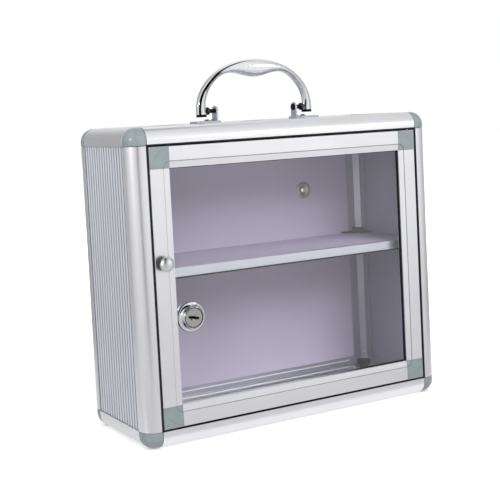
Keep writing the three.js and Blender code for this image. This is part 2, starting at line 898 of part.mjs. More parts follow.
// The cam points left when locked. At rest it is turned up, just clear of the door stop.
function lockCam() {
  const hub = Math.asin(camHalfWidth / camHubRadius);
  const outline = [
    ...arcPoints([0, -camSpan], camHalfWidth, 0, -Math.PI, smallRoundSides / 2),
    ...arcPoints([0, 0], camHubRadius, Math.PI * 1.5 - hub, hub - Math.PI / 2, roundSides).slice(1, -1),
  ];
  const half = camSquare / 2;
  const plate = prism('y', outline, camFront, camBack, [rectangle([-half, -half], [half, half])]);
  return named('lock_cam', plate.rotateY(camTurn).translate(lockX, 0, lockHeight), steel);
}

function camScrew() {
  const front = camBack + plugTailLength + jointGap;
  return named('cam_screw', turned('y', lockCentre, [
    [0, front],
    [camScrewRadius, front],
    [camScrewRadius, front + camScrewHeadLength / 2],
    [camScrewRadius / 2, front + camScrewHeadLength],
    [0, front + camScrewHeadLength],
  ], smallRoundSides), steel);
}

// Hinge pins, pressed into the cabinet above and below the door
function hingePin(level) {
  const reachIntoDoor = edgeReach + doorGap + hingePinReach;
  const low = hollowEnd + jointGap;
  const from = level === 'bottom' ? low : cabinetHeight - reachIntoDoor;
  const to = level === 'bottom' ? reachIntoDoor : cabinetHeight - low;
  const pin = bar('z', [hingeX, hingeFromFront], hingePinRadius, from, to, smallRoundSides);
  return named(`hinge_pin_${level}`, pin, steel);
}

// Handle brackets, their rivets and the pins that the handle folds on
const plateBottom = cabinetHeight - panelOuter + ribHeight + panelClearance;
const plateTop = plateBottom + plateThickness;
const handleY = cabinetDepth / 2;

function handleBracket(side) {
  const inner = plateInnerX;
  const corners = [
    [[plateOuterX - plateCorner, plateHalfWidth - plateCorner], 0],
    [[inner + plateCorner, plateHalfWidth - plateCorner], Math.PI / 2],
    [[inner + plateCorner, plateCorner - plateHalfWidth], Math.PI],
    [[plateOuterX - plateCorner, plateCorner - plateHalfWidth], Math.PI * 1.5],
  ];
  const outline = corners.flatMap(([centre, start]) =>
    arcPoints(centre, plateCorner, start, start + Math.PI / 2, ribArcSteps));
  const plate = prism('z', outline, plateBottom, plateTop);
  const lugOutline = [
    [lugHalfWidth, plateTop - plateThickness / 2],
    ...arcPoints([0, pivotHeight], lugHalfWidth, 0, Math.PI, smallRoundSides / 2),
    [-lugHalfWidth, plateTop - plateThickness / 2],
  ];
  const lug = prism('x', lugOutline, lugInnerX, lugInnerX + lugThickness);
  const holeRadius = pivotPinRadius + pinClearance;
  const pinHole = bar('x', [0, pivotHeight], holeRadius, inner - overrun, plateOuterX, smallRoundSides);
  const rivetHoles = [-rivetY, rivetY].map((y) => bar(
    'z',
    [rivetX, y],
    rivetRadius + pinClearance,
    plateBottom - overrun,
    plateTop + overrun,
    smallRoundSides,
  ));
  const shape = cut(joined(plate, lug), pinHole, ...rivetHoles);
  const mesh = named(`handle_bracket_${sideName[side]}`, shape, chrome);
  mesh.position.y = handleY;
  mesh.scale.x = side;
  return mesh;
}

function bracketRivet(side, end) {
  const headSeat = plateTop + jointGap;
  const tailSeat = cabinetHeight - panelInner - jointGap;
  const y = handleY + (end === 'front' ? -rivetY : rivetY);
  const rivet = turned('z', [side * rivetX, y], [
    [0, tailSeat - rivetTailHeight],
    [rivetHeadRadius, tailSeat - rivetTailHeight],
    [rivetHeadRadius, tailSeat],
    [rivetRadius, tailSeat],
    [rivetRadius, headSeat],
    [rivetHeadRadius, headSeat],
    [rivetHeadRadius * Math.cos(Math.PI / 4), headSeat + rivetHeadHeight * Math.sin(Math.PI / 4)],
    [0, headSeat + rivetHeadHeight],
  ], smallRoundSides);
  return named(`bracket_rivet_${sideName[side]}_${end}`, rivet, steel);
}

function handlePin(side) {
  const headEnd = lugInnerX - jointGap;
  const headStart = headEnd - pivotPinHeadLength;
  const tip = legInnerX + legPinEnd;
  const pin = turned('x', [handleY, pivotHeight], [
    [0, headStart],
    [pivotPinHeadRadius, headStart],
    [pivotPinHeadRadius, headEnd],
    [pivotPinRadius, headEnd],
    [pivotPinRadius, tip],
    [0, tip],
  ], smallRoundSides);
  const mesh = named(`handle_pin_${sideName[side]}`, pin, steel);
  mesh.scale.x = side;
  return mesh;
}

// Handle: an arch whose section is swept from one leg's end to the other. The outer edge is half an
// ellipse, the thickness grows into the finger bulge and the depth grows towards the grip.
function handleSection(share) {
  const end = handleEndDrop;
  const arch = Math.PI * (handleHalfWidth + handleRise) / 2;
  const travel = share * (arch + end * 2) - end;
  const angle = Math.PI * Math.min(Math.max(travel / arch, 0), 1);
  const drop = Math.max(-travel, travel - arch, 0);
  const x = -handleHalfWidth * Math.cos(angle);
  const z = pivotHeight + handleRise * Math.sin(angle) - drop;
  const rise = Math.sin(angle);
  const inward = new THREE.Vector2(handleRise * Math.cos(angle), -handleHalfWidth * rise).normalize();
  const bulgeShare = Math.min(Math.abs(x) / gripBulgeHalfLength, 1);
  const bulge = Math.cos((Math.PI / 2) * bulgeShare) ** 2;
  const taper = 1 - (1 - rise) ** legTaperPower;
  const thickness = legThickness + (gripThickness - legThickness) * taper + gripBulge * bulge;
  const halfDepth = legHalfDepth + (gripHalfDepth - legHalfDepth) * rise ** 2;
  return { outer: new THREE.Vector2(x, z), inward, thickness, halfDepth };
}

function handleArch() {
  const positions = [];
  const indices = [];
  const power = 2 / gripSquareness;
  const rounded = (value) => Math.sign(value) * Math.abs(value) ** power;
  for (let i = 0; i <= handleSteps; i += 1) {
    const { outer, inward, thickness, halfDepth } = handleSection(i / handleSteps);
    for (let j = 0; j < handleSides; j += 1) {
      const around = (Math.PI * 2 * j) / handleSides;
      const depth = halfDepth * rounded(Math.sin(around));
      const across = (thickness / 2) * (1 - rounded(Math.cos(around)));
      positions.push(outer.x + inward.x * across, depth, outer.y + inward.y * across);
    }
  }
  const ring = (i, j) => i * handleSides + (j % handleSides);
  for (let i = 0; i < handleSteps; i += 1) {
    for (let j = 0; j < handleSides; j += 1) {
      indices.push(ring(i, j), ring(i + 1, j), ring(i, j + 1));
      indices.push(ring(i, j + 1), ring(i + 1, j), ring(i + 1, j + 1));
    }
  }
  for (let j = 1; j < handleSides - 1; j += 1) {
    indices.push(ring(0, 0), ring(0, j), ring(0, j + 1));
    indices.push(ring(handleSteps, 0), ring(handleSteps, j + 1), ring(handleSteps, j));
  }
  const geometry = new THREE.BufferGeometry();
  geometry.setAttribute('position', new THREE.Float32BufferAttribute(positions, 3));
  geometry.setIndex(indices);
  return geometry;
}

function handle() {
  const holeRadius = pivotPinRadius + pinClearance;
  const holes = [left, right].map((side) => {
    const ends = [side * (legInnerX - overrun), side * (legInnerX + legPinDepth)].sort((a, b) => a - b);
    return bar('x', [0, pivotHeight], holeRadius, ...ends, smallRoundSides);
  });
  const mesh = named('handle_grip', cut(handleArch(), ...holes), chrome);
  mesh.position.y = handleY;
  return mesh;
}

// The whole cabinet, moved so that the origin is in the middle of what it covers
const knobReach = knobStemLength + knobHeadLength;
const lockbox = new THREE.Group();
lockbox.position.y = -(cabinetDepth - knobReach) / 2;

lockbox.add(...edgeProfiles(), ...cornerBlocks(), ...panels());
lockbox.add(shelf(), shelfTrim(), shelfLedge(left), shelfLedge(right));
lockbox.add(hangingBush(left), hangingBush(right), hingePin('bottom'), hingePin('top'));
lockbox.add(...doorFrame(), pane(), gasket(), knob(), knobScrew());
lockbox.add(lockBody(), lockNut(), lockPlug(), lockCam(), camScrew());
for (const side of [left, right]) {
  lockbox.add(handleBracket(side), handlePin(side));
  lockbox.add(bracketRivet(side, 'front'), bracketRivet(side, 'rear'));
}
lockbox.add(handle());

export default lockbox;
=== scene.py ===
import math

import bmesh
import bpy
from mathutils import Matrix, Vector


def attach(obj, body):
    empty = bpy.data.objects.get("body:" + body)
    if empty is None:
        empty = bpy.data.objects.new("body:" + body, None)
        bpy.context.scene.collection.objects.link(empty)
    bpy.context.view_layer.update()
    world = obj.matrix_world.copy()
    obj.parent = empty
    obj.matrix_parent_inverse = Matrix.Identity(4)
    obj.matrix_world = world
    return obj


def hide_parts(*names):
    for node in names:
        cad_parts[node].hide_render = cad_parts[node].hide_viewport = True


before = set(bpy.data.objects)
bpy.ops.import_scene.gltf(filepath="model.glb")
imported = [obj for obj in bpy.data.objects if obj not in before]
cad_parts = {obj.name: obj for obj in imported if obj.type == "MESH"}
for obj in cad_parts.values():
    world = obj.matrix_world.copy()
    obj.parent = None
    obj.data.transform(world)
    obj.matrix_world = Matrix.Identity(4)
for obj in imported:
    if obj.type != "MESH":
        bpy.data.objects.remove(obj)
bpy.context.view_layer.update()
print("packed model loaded,", len(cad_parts), "nodes")

# Shapes below are drawn in millimetres: x to the right, y back from the front of the cabinet, z up.
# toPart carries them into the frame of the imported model, which is in metres.
mm = 0.001
cabinet = {"width": 320, "height": 280, "depth": 120, "frontInPart": -54.5}
toPart = Matrix.Translation((0, cabinet["frontInPart"] * mm, 0)) @ Matrix.Scale(mm, 4)
axes = "xyz"
sides = ("left", "right")
levels = ("bottom", "top")
# the way along its axis to each side of the cabinet
wayTo = {"left": -1, "right": 1, "bottom": -1, "top": 1, "front": -1, "rear": 1}

view = {
    "place": (-0.53768, -0.90287, 0.28821),
    "heading": 29.5944,  # degrees to the right of straight ahead
    "tilt": -4.2343,
    "roll": -2.9689,
    "lens": 79.01,
    "sensor": 36,
    "shift": (0.0204, -0.1124),
    "clip": (0.05, 50),
}


def linked(name, data):
    item = bpy.data.objects.new(name, data)
    bpy.context.scene.collection.objects.link(item)
    return item


def makeCamera():
    data = bpy.data.cameras.new("camera")
    data.sensor_width = view["sensor"]
    data.lens = view["lens"]
    data.shift_x, data.shift_y = view["shift"]
    data.clip_start, data.clip_end = view["clip"]
    camera = linked("camera", data)
    heading = Matrix.Rotation(math.radians(-view["heading"]), 4, "Z")
    tilt = Matrix.Rotation(math.radians(90 + view["tilt"]), 4, "X")
    roll = Matrix.Rotation(math.radians(view["roll"]), 4, "Z")
    camera.matrix_world = Matrix.Translation(view["place"]) @ heading @ tilt @ roll
    bpy.context.scene.camera = camera


makeCamera()
print("camera in place")


# Materials
def toLinear(hexColour):
    channels = []
    for start in (1, 3, 5):
        value = int(hexColour[start:start + 2], 16) / 255
        channels.append(value / 12.92 if value <= 0.04045 else ((value + 0.055) / 1.055) ** 2.4)
    return (*channels, 1.0)


def addNode(tree, kind, inputs=(), **settings):
    # Inputs go by name, or in a row that follows the sockets in use. Each is a value, a socket or
    # a node, which stands for the first of its outputs in use.
    node = tree.nodes.new(kind)
    for name, value in settings.items():
        setattr(node, name, value)
    if isinstance(inputs, dict):
        pairs = [(node.inputs[name], value) for name, value in inputs.items()]
    else:
        pairs = zip([socket for socket in node.inputs if socket.enabled], inputs)
    for socket, value in pairs:
        if isinstance(value, bpy.types.Node):
            value = next(output for output in value.outputs if output.enabled)
        if isinstance(value, bpy.types.NodeSocket):
            tree.links.new(value, socket)
        else:
            socket.default_value = value
    return node


def startMaterial(name):
    material = bpy.data.materials.new(name)
    material.use_nodes = True
    material.node_tree.nodes.clear()
    return material, material.node_tree


def noiseAt(tree, sizes, detail=2.0, grit=0.5):
    # noise whose features measure sizes (x, y, z) in millimetres on the object
    place = addNode(tree, "ShaderNodeTexCoord").outputs["Object"]
    scale = [1 / (size * mm) for size in sizes]
    mapping = addNode(tree, "ShaderNodeMapping", {"Vector": place, "Scale": scale})
    return addNode(tree, "ShaderNodeTexNoise", {
        "Vector": mapping, "Scale": 1.0, "Detail": detail, "Roughness": grit,
    })


noiseSpan = (0.3, 0.7)  # the middle of a noise, which nearly all of its values are in
# Each finish: the size of its pattern in mm, which varies the roughness and the relief, the size of
# the clouds in its colour, where they are wider than the pattern, the depth of the relief in mm
# and its strength.
finishes = {
    # Extruded aluminium, etched and clear anodised: nearly white, soft broad reflections, and
    # faint lines along its length from the die. The lines are drawn about 0.5 mm apart to show.
    "anodised": {
        "clouds": 35, "detail": 3, "roughness": (0.28, 0.31), "relief": (0.01, 0.05),
        "sockets": {"Metallic": 0.95}},
    # Roll-formed aluminium sheet with a thin clear lacquer: a cool grey with a blue cast, softer
    # than the profiles, with very fine brush lines along the ribs.
    "lacquered": {
        "pattern": (0.8, 0.8, 12), "clouds": 50, "detail": 3, "roughness": (0.3, 0.38),
        "relief": (0.01, 0.04), "sockets": {"Metallic": 0.4}},
    # The bare side of the aluminium sheet: mill finish, fine rolling lines, a darker soft mirror
    "milled": {
        "pattern": (0.8, 0.8, 60), "clouds": 40, "detail": 3, "roughness": (0.36, 0.44),
        "relief": (0.01, 0.05), "sockets": {"Metallic": 0.6}},
    # Injection moulded ABS: a fine spark-eroded grain that breaks up a satin highlight. The
    # grain is drawn 0.5 mm wide so that it shows.
    "moulded": {
        "pattern": (0.5, 0.5, 0.5), "clouds": 9, "roughness": (0.21, 0.25), "relief": (0.03, 0.15),
        "sockets": {"IOR": 1.53}},
    # Melamine laminate on thin board, pressed against a satin plate: an even pale lilac grey with
    # a barely visible orange-peel about 1.5 mm across
    "pressed": {
        "pattern": (1.5, 1.5, 1.5), "clouds": 70, "roughness": (0.42, 0.5), "relief": (0.02, 0.15),
        "sockets": {"IOR": 1.5}},
    # Black EPDM, extruded: matt, with a slight bloom in patches
    "rubber": {
        "pattern": (4, 4, 4), "detail": 3, "roughness": (0.6, 0.8), "relief": (0.02, 0.2)},
    # The bottom of the sunk lines of the door: matt, and greyer as painted shade
    "sunk": {"pattern": (3, 3, 3), "detail": 3, "roughness": (0.5, 0.7)},
    # Plate on metal: soft marks from wiping and handling
    "plated": {"detail": 4, "grit": 0.6, "relief": (0.01, 0.15), "sockets": {"Metallic": 1.0}},
}


def made(finish, name, dark, light, mask=None, **changes):
    # a material; its colour goes from dark to light with the mask, or the clouds, or the pattern
    v = {"detail": 2, "grit": 0.5, "sockets": {}, **finishes[finish], **changes}
    material, tree = startMaterial(name)
    pattern = noiseAt(tree, v["pattern"], v["detail"], v["grit"])
    shade = pattern
    if mask:
        shade = mask(tree)
    elif "clouds" in v:
        shade = noiseAt(tree, (v["clouds"],) * 3)
    sockets = {
        "Base Color": addNode(
            tree, "ShaderNodeMix", (shade, toLinear(dark), toLinear(light)), data_type="RGBA"),
        "Roughness": addNode(tree, "ShaderNodeMapRange", (pattern, *noiseSpan, *v["roughness"])),
        **v["sockets"],
    }
    if "relief" in v:
        depth, strength = v["relief"]
        sockets["Normal"] = addNode(tree, "ShaderNodeBump", {
            "Height": pattern, "Distance": depth * mm, "Strength": strength,
        })
    shader = addNode(tree, "ShaderNodeBsdfPrincipled", sockets)
    addNode(tree, "ShaderNodeOutputMaterial", {"Surface": shader})
    return material


def clearAcrylic():
    # Cast acrylic sheet: clear and polished, with the faintest waviness. Light rays that only
    # carry shade or bounced light pass straight through it.
    look = {
        "colour": "#fafbfc", "roughness": 0.015, "refraction": 1.49,
        "wave": 45, "waveDepth": 0.03, "waveStrength": 0.2,
    }
    material, tree = startMaterial("cast clear acrylic")
    bump = addNode(tree, "ShaderNodeBump", {
        "Height": noiseAt(tree, (look["wave"],) * 3, detail=1),
        "Distance": look["waveDepth"] * mm, "Strength": look["waveStrength"],
    })
    clear = addNode(tree, "ShaderNodeBsdfPrincipled", {
        "Base Color": toLinear(look["colour"]), "Roughness": look["roughness"],
        "IOR": look["refraction"], "Transmission Weight": 1.0, "Normal": bump,
    })
    through = addNode(tree, "ShaderNodeBsdfTransparent", {"Color": toLinear(look["colour"])})
    path = addNode(tree, "ShaderNodeLightPath").outputs
    passing = addNode(
        tree, "ShaderNodeMath", (path["Is Shadow Ray"], path["Is Diffuse Ray"]),
        operation="MAXIMUM")
    mix = addNode(tree, "ShaderNodeMixShader", (passing, clear, through))
    addNode(tree, "ShaderNodeOutputMaterial", {"Surface": mix})
    return material


def dieLines(run):
    die = {"line": 0.5, "length": 90}
    return [die["length"] if axis == run else die["line"] for axis in axes]


def paleRunOnGasket(tree):
    # paler along the gasket's lower run, fading out upwards and towards the hinge
    paleRun = {"Z": (40, 46), "X": (-10, 75)}  # between which it fades along each axis
    place = addNode(tree, "ShaderNodeTexCoord").outputs["Object"]
    parts = addNode(tree, "ShaderNodeSeparateXYZ", {"Vector": place}).outputs
    fades = [
        addNode(tree, "ShaderNodeMapRange", (parts[axis], start * mm, end * mm, 1.0, 0.0))
        for axis, (start, end) in paleRun.items()
    ]
    return addNode(tree, "ShaderNodeMath", fades, operation="MULTIPLY")


aluminium = {
    run: made("anodised", f"anodised aluminium extruded along {run}", "#e4e4e9", "#ededf1",
              pattern=dieLines(run))
    for run in axes
}
trimAluminium = made(
    "anodised", "matt anodised shelf trim", "#d4d4de", "#dcdce5", pattern=dieLines("x"))
ribbedAluminium = made("lacquered", "lacquered ribbed aluminium sheet", "#c3c5cd", "#cbcdd4")
# Between the ribs the sheet is painted darker as shade, which draws a line beside each rib
shadeBetweenRibs = made(
    "lacquered", "lacquered aluminium sheet between the ribs", "#717379", "#7a7c82")
# ridges in a pale colour that is a painted highlight
highlightRidges = made("lacquered", "aluminium ridges with a painted highlight", "#ececf0", "#f4f4f6")
# the bare inner side of the panels, darker in part as painted shade, and painted shade on the faces of
# the profiles that look into the cabinet
bareAluminiumAndShade = made("milled", "mill finish aluminium sheet", "#a2a0ac", "#aeacb7")
# the bare side of the bottom panel, painted lighter where the light from the door falls on it
trayPaintedLighter = made("milled", "mill finish aluminium sheet, wiped", "#c6c4cc", "#d2d0d8")
greyPlastic = made("moulded", "moulded grey ABS", "#737b7e", "#7f8789")
blackPlastic = made("moulded", "moulded black ABS", "#101012", "#18181b")
laminate = made("pressed", "pressed lilac melamine laminate", "#b9b0c3", "#c3bacd")
shelfLaminate = made("pressed", "pressed lilac melamine shelf", "#b0a7bb", "#b9b0c5")
acrylic = clearAcrylic()
# black rubber, used here for the strips that stand in for shade in the door gap and under the shelf's
# trim
rubber = made("rubber", "extruded black EPDM rubber", "#08080a", "#121215")
# the glazing gasket, paler along its lower run
paleRunRubber = made(
    "rubber", "extruded black EPDM rubber, pale along its lower run", "#0d0d10", "#b4b3b8", mask=paleRunOnGasket)
# a darker grey painted as shade in the sunk lines of the door
grooveShadeAluminium = made("sunk", "matt anodised aluminium in the sunk lines", "#85868c", "#919298")
# Chrome plate on polished die castings: mirror bright with soft wiping marks
chrome = made(
    "plated", "polished chrome plate", "#dcdee2", "#eceef1",
    pattern=(3, 3, 3), roughness=(0.07, 0.12), relief=(0.004, 0.15))
# The same plate over a brushed knob, which blurs what it mirrors
satinChrome = made(
    "plated", "satin chrome plate", "#dcdee2", "#eceef1",
    pattern=(3, 3, 3), roughness=(0.34, 0.4), relief=(0.004, 0.15))
# Nickel plate on a turned brass face: warm grey, dull, finely turned
nickel = made(
    "plated", "dull nickel plate", "#a5a5a1", "#bababa",
    pattern=(0.7, 0.7, 0.7), roughness=(0.28, 0.4))
# Blackened steel: near black with a bright edge to its gloss
# also painted as shade and dark reflection on the knob, the lock, the keyway and the handle's leg ends
blackSteel = made(
    "plated", "blackened steel", "#1c1c20", "#2c2c30",
    pattern=(1.6, 1.6, 1.6), roughness=(0.2, 0.3))
# Zinc plate on headed and pressed steel: cool grey, half bright, slightly cloudy
zinc = made(
    "plated", "bright zinc plate", "#a9acb2", "#c4c7cc",
    pattern=(1.6, 1.6, 1.6), roughness=(0.22, 0.36))
# The same plate on the pressed brackets, cooler and duller
pressedZinc = made(
    "plated", "zinc plate on pressings", "#bcbcc8", "#cbcbd6",
    pattern=(2, 2, 2), roughness=(0.3, 0.4))
print("materials made")


# Shape helpers. A shape is a bmesh in millimetres. Vertices nearer than weld are joined, faces
# within flatAngle of each other become one, and edges sharper than sharpAngle are broken.
meshing = {"weld": 0.002, "flatAngle": 0.5, "sharpAngle": 32, "edgeSegments": 2}


def block(low, high):
    shape = bmesh.new()
    bmesh.ops.create_cube(shape, size=1)
    low, high = Vector(low), Vector(high)
    shape.transform(Matrix.Translation((low + high) / 2) @ Matrix.Diagonal((*(high - low), 1)))
    return shape


def turned(outline, centre, axis, count, closed=False):
    # a lathe shape from (radius, distance along the axis); centre is a point on the axis
    shape = bmesh.new()
    main = axes.index(axis)
    first, second = (main + 1) % 3, (main + 2) % 3
    rings = []
    for radius, distance in outline:
        ring = []
        for i in range(count if radius > 0 else 1):
            angle = math.tau * i / count
            place = Vector(centre)
            place[main] += distance
            place[first] += radius * math.cos(angle)
            place[second] += radius * math.sin(angle)
            ring.append(shape.verts.new(place))
        rings.append(ring)
    for low, high in zip(rings, rings[1:] + rings[:1] if closed else rings[1:]):
        for i in range(count):
            j = (i + 1) % count
            around = ((low, i), (low, j), (high, j), (high, i))
            corners = list(dict.fromkeys(ring[k % len(ring)] for ring, k in around))
            if len(corners) > 2:
                shape.faces.new(corners)
    bmesh.ops.recalc_face_normals(shape, faces=shape.faces)
    return shape


def rod(radius, start, end, centre, axis, count):
    return turned([(0, start), (radius, start), (radius, end), (0, end)], centre, axis, count)


def stepsFrom(radius, distance, steps):
    # points of a lathe outline that are given as steps from one of its corners
    return [(radius + out, distance + on) for out, on in steps]


def domed(radius, height, start, steps):
    # the outline of half an ellipsoid, from its top down to its rim at the distance start
    points = [(0, start + height)]
    for i in range(1, steps + 1):
        angle = math.pi / 2 * (1 - i / steps)
        points.append((radius * math.cos(angle), start + height * math.sin(angle)))
    return points


def mirrored(shape, x=1, y=1, z=1):
    copy = shape.copy()
    copy.transform(Matrix.Diagonal((x, y, z, 1)))
    if x * y * z < 0:
        bmesh.ops.reverse_faces(copy, faces=copy.faces)
    return copy


def moved(shape, offset):
    shape.transform(Matrix.Translation(offset))
    return shape


def cadShape(node):
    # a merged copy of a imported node, whose own mesh is loose triangles and stays as it is
    shape = bmesh.new()
    shape.from_mesh(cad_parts[node].data)
    shape.transform(toPart.inverted())
    bmesh.ops.remove_doubles(shape, verts=shape.verts, dist=meshing["weld"])
    bmesh.ops.dissolve_limit(
        shape, angle_limit=math.radians(meshing["flatAngle"]), verts=shape.verts, edges=shape.edges)
    return shape


def meshFrom(shape, name):
    mesh = bpy.data.meshes.new(name)
    shape.to_mesh(mesh)
    shape.free()
    return mesh


def joined(shape, other):
    mesh = meshFrom(other, "other")
    shape.from_mesh(mesh)
    bpy.data.meshes.remove(mesh)
    return shape


def carved(shape, cutters):
    # shape less every cutter
    target = linked("carved", meshFrom(shape, "carved"))
    tools = [linked("cutter", meshFrom(cutter, "cutter")) for cutter in cutters]
    for tool in tools:
        cut = target.modifiers.new("cut", "BOOLEAN")
        cut.operation = "DIFFERENCE"
        cut.solver = "EXACT"
        cut.object = tool
    result = bmesh.new()
    result.from_object(target, bpy.context.evaluated_depsgraph_get())
    for temporary in (target, *tools):
        bpy.data.meshes.remove(temporary.data)
    bmesh.ops.remove_doubles(result, verts=result.verts, dist=meshing["weld"])
    return result


def finished(mesh, name, material, body, nodes, edge):
    # the mesh, now in the part's frame, becomes a piece; edge is the rounding of its edges in mm
    mesh.materials.clear()
    mesh.materials.append(material)
    mesh.polygons.foreach_set("use_smooth", [True] * len(mesh.polygons))
    mesh.set_sharp_from_angle(angle=math.radians(meshing["sharpAngle"]))
    piece = linked(name, mesh)
    if edge:
        bevel = piece.modifiers.new("broken edges", "BEVEL")
        bevel.width = edge * mm
        bevel.segments = meshing["edgeSegments"]
        bevel.limit_method = "ANGLE"
        bevel.angle_limit = math.radians(meshing["sharpAngle"])
        bevel.miter_outer = "MITER_ARC"
    weighted = piece.modifiers.new("even shading", "WEIGHTED_NORMAL")
    weighted.keep_sharp = True
    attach(piece, body)
    if nodes:
        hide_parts(*nodes)
    return piece


def addTrim(shape, name, material, body, edge=0.0, nodes=()):
    shape.transform(toPart)
    return finished(meshFrom(shape, name), name, material, body, nodes, edge)


def camel(node):
    first, *rest = node.split("_")
    return first + "".join(word.capitalize() for word in rest)


def addPiece(shape, node, material, body, edge, name=None):
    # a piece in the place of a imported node
    return addTrim(shape, name or camel(node), material, body, edge, [node])


def paintShadeOnFaces(piece, material, chosenFace):
    # painted shade and dark reflection: a second, darker material for the faces that chosenFace picks
    # by centre, in millimetres, and normal
    piece.data.materials.append(material)
    toDrawn = toPart.inverted()
    for face in piece.data.polygons:
        if chosenFace(toDrawn @ face.center, face.normal):
            face.material_index = len(piece.data.materials) - 1


# Extrusions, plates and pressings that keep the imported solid's shape, with their edges broken.
# Each row: nodes, material, body, slot, width of the broken edge.
door = {"width": 285.4, "height": 245.4, "bottom": 17.3}
keptShapes = [
    ([f"{face}_profile_{side}" for face in ("front", "rear") for side in sides],
     aluminium["z"], "cabinet", "satin_aluminium", 0.2),
    ([f"{face}_profile_{level}" for face in ("front", "rear") for level in levels],
     aluminium["x"], "cabinet", "satin_aluminium", 0.2),
    ([f"depth_profile_{level}_{side}" for level in levels for side in sides],
     aluminium["y"], "cabinet", "satin_aluminium", 0.2),
    (["back_panel"], laminate, "cabinet", "laminated_board", 0.25),
    (["shelf"], shelfLaminate, "cabinet", "laminated_board", 0.25),
    (["shelf_front_trim"], trimAluminium, "cabinet", "satin_aluminium", 0.15),
    ([f"shelf_ledge_{side}" for side in sides], aluminium["y"], "cabinet", "satin_aluminium", 0.2),
    ([f"door_stile_{side}" for side in sides], aluminium["z"], "door", "satin_aluminium", 0.15),
    ([f"door_rail_{level}" for level in levels], aluminium["x"], "door", "satin_aluminium", 0.15),
    ([f"handle_bracket_{side}" for side in sides], pressedZinc, "cabinet", "steel", 0.4),
    ([f"hinge_pin_{level}" for level in levels], zinc, "cabinet", "steel", 0.3),
    (["lock_nut"], zinc, "door", "steel", 0.4),
    (["lock_cam"], zinc, "lock_cylinder", "steel", 0.25),
]
# where the inside begins, from the walls and from the front, and how squarely a face has to look
# along an axis to count as flat
inside = {"wall": 5.4, "front": 11.9, "flat": 0.9}
# The sunk line round the beads of the door, painted darker as shade. The left stile's line is not
# painted, so it stays bright, as photographed.
doorGroove = {
    "from": 12.65, "to": 13.35, "skin": 0.03, "floor": 0.72,
    "nodes": ("door_stile_right", "door_rail_bottom", "door_rail_top"),
}


def insideCabinet(place, normal):
    # the faces of profiles and corner blocks that look into the cabinet
    wall = inside["wall"]
    inX = abs(place.x) < cabinet["width"] / 2 - wall
    inZ = wall < place.z < cabinet["height"] - wall
    return inX and inZ and inside["front"] < place.y < cabinet["depth"] - wall


def flatInsideCabinet(place, normal):
    # the same without the slanted faces, which stay bright anodised, free of the painted shade
    return insideCabinet(place, normal) and max(abs(number) for number in normal) > inside["flat"]


def inDoorGroove(place, normal):
    fromSide = door["width"] / 2 - abs(place.x)
    fromEnd = min(place.z - door["bottom"], door["bottom"] + door["height"] - place.z)
    inLine = doorGroove["from"] < min(fromSide, fromEnd) < doorGroove["to"]
    return inLine and doorGroove["skin"] < place.y < doorGroove["floor"]


for nodes, material, body, slotName, edge in keptShapes:
    for node in nodes:
        piece = addPiece(cadShape(node), node, material, body, edge)
        # painted shade on the faces of the profiles that look into the cabinet
        if "_profile_" in node:
            isPost = node.endswith(sides) and not node.startswith("depth")
            paintShadeOnFaces(piece, bareAluminiumAndShade, insideCabinet if isPost else flatInsideCabinet)
        # painted shade in the sunk line round the door's beads
        if node in doorGroove["nodes"]:
            paintShadeOnFaces(piece, grooveShadeAluminium, inDoorGroove)
print("profiles, rails and boards finished")


# Corner blocks of the cabinet: a ball corner with a slot for each panel that meets there
cornerBlock = {
    "span": 15.75, "round": 12, "roundSteps": 14, "innerCut": 7,
    "slotFrom": 1.2, "slotTo": 5.3, "slotFloor": 10.5, "edge": 0.3, "past": 1,
}


def cornerShape(face):
    v = cornerBlock
    far = v["span"]
    shape = block((0, 0, 0), (far, far, far))
    outer = [  # the three edges that meet at the cabinet's corner
        edge for edge in shape.edges
        if sum(all(abs(vert.co[i]) < meshing["weld"] for vert in edge.verts) for i in range(3)) == 2
    ]
    bmesh.ops.bevel(
        shape, geom=outer, offset=v["round"], segments=v["roundSteps"], profile=0.5,
        affect="EDGES", clamp_overlap=False)
    slant = bmesh.ops.bisect_plane(
        shape, geom=shape.verts[:] + shape.edges[:] + shape.faces[:],
        plane_co=(far, far, far - v["innerCut"]), plane_no=(1, 1, 1), clear_outer=True)
    rim = [item for item in slant["geom_cut"] if isinstance(item, bmesh.types.BMEdge)]
    bmesh.ops.edgenet_fill(shape, edges=rim)
    bmesh.ops.recalc_face_normals(shape, faces=shape.faces)
    low, high = [v["slotFloor"]] * 3, [far + v["past"]] * 3
    slots = []
    for i in (0, 2, 1) if face == "rear" else (0, 2):
        low[i], high[i] = v["slotFrom"], v["slotTo"]
        slots.append(block(low, high))
        low[i], high[i] = v["slotFloor"], far + v["past"]
    return carved(shape, slots)


def addCornerBlocks():
    for face in ("front", "rear"):
        drawn = cornerShape(face)
        for level in levels:
            for side in sides:
                x, y, z = (-wayTo[end] for end in (side, face, level))
                place = (
                    -x * cabinet["width"] / 2,
                    0 if face == "front" else cabinet["depth"],
                    0 if level == "bottom" else cabinet["height"],
                )
                piece = addPiece(
                    moved(mirrored(drawn, x, y, z), place), f"corner_{face}_{level}_{side}",
                    greyPlastic, "cabinet", cornerBlock["edge"])
                # the faces that look into the cabinet are painted black as shade
                paintShadeOnFaces(piece, blackPlastic, insideCabinet)
        drawn.free()


addCornerBlocks()
print("corner blocks finished")


# Corner blocks of the door: flat, with the quarter round of the bead sunk in the inner corner, a
# groove round it and a thin line farther out
doorBlock = {
    "span": 19, "thick": 8, "past": 1, "sides": 96, "edge": 0.35,
    "beadRadius": 5.7, "beadDrop": 0.3, "beadFall": 0.6, "grooveRadius": 6.3, "grooveDepth": 0.7,
    "lineRadius": 16.9, "lineWidth": 0.5, "lineDepth": 0.2,
    "paneFrom": 2.3, "paneTo": 6.6, "paneFloor": 13.4,
    "pinAt": (5.5, 3.3, 0), "pinRadius": 1.8, "pinDepth": 7.3, "pinSides": 32,
}


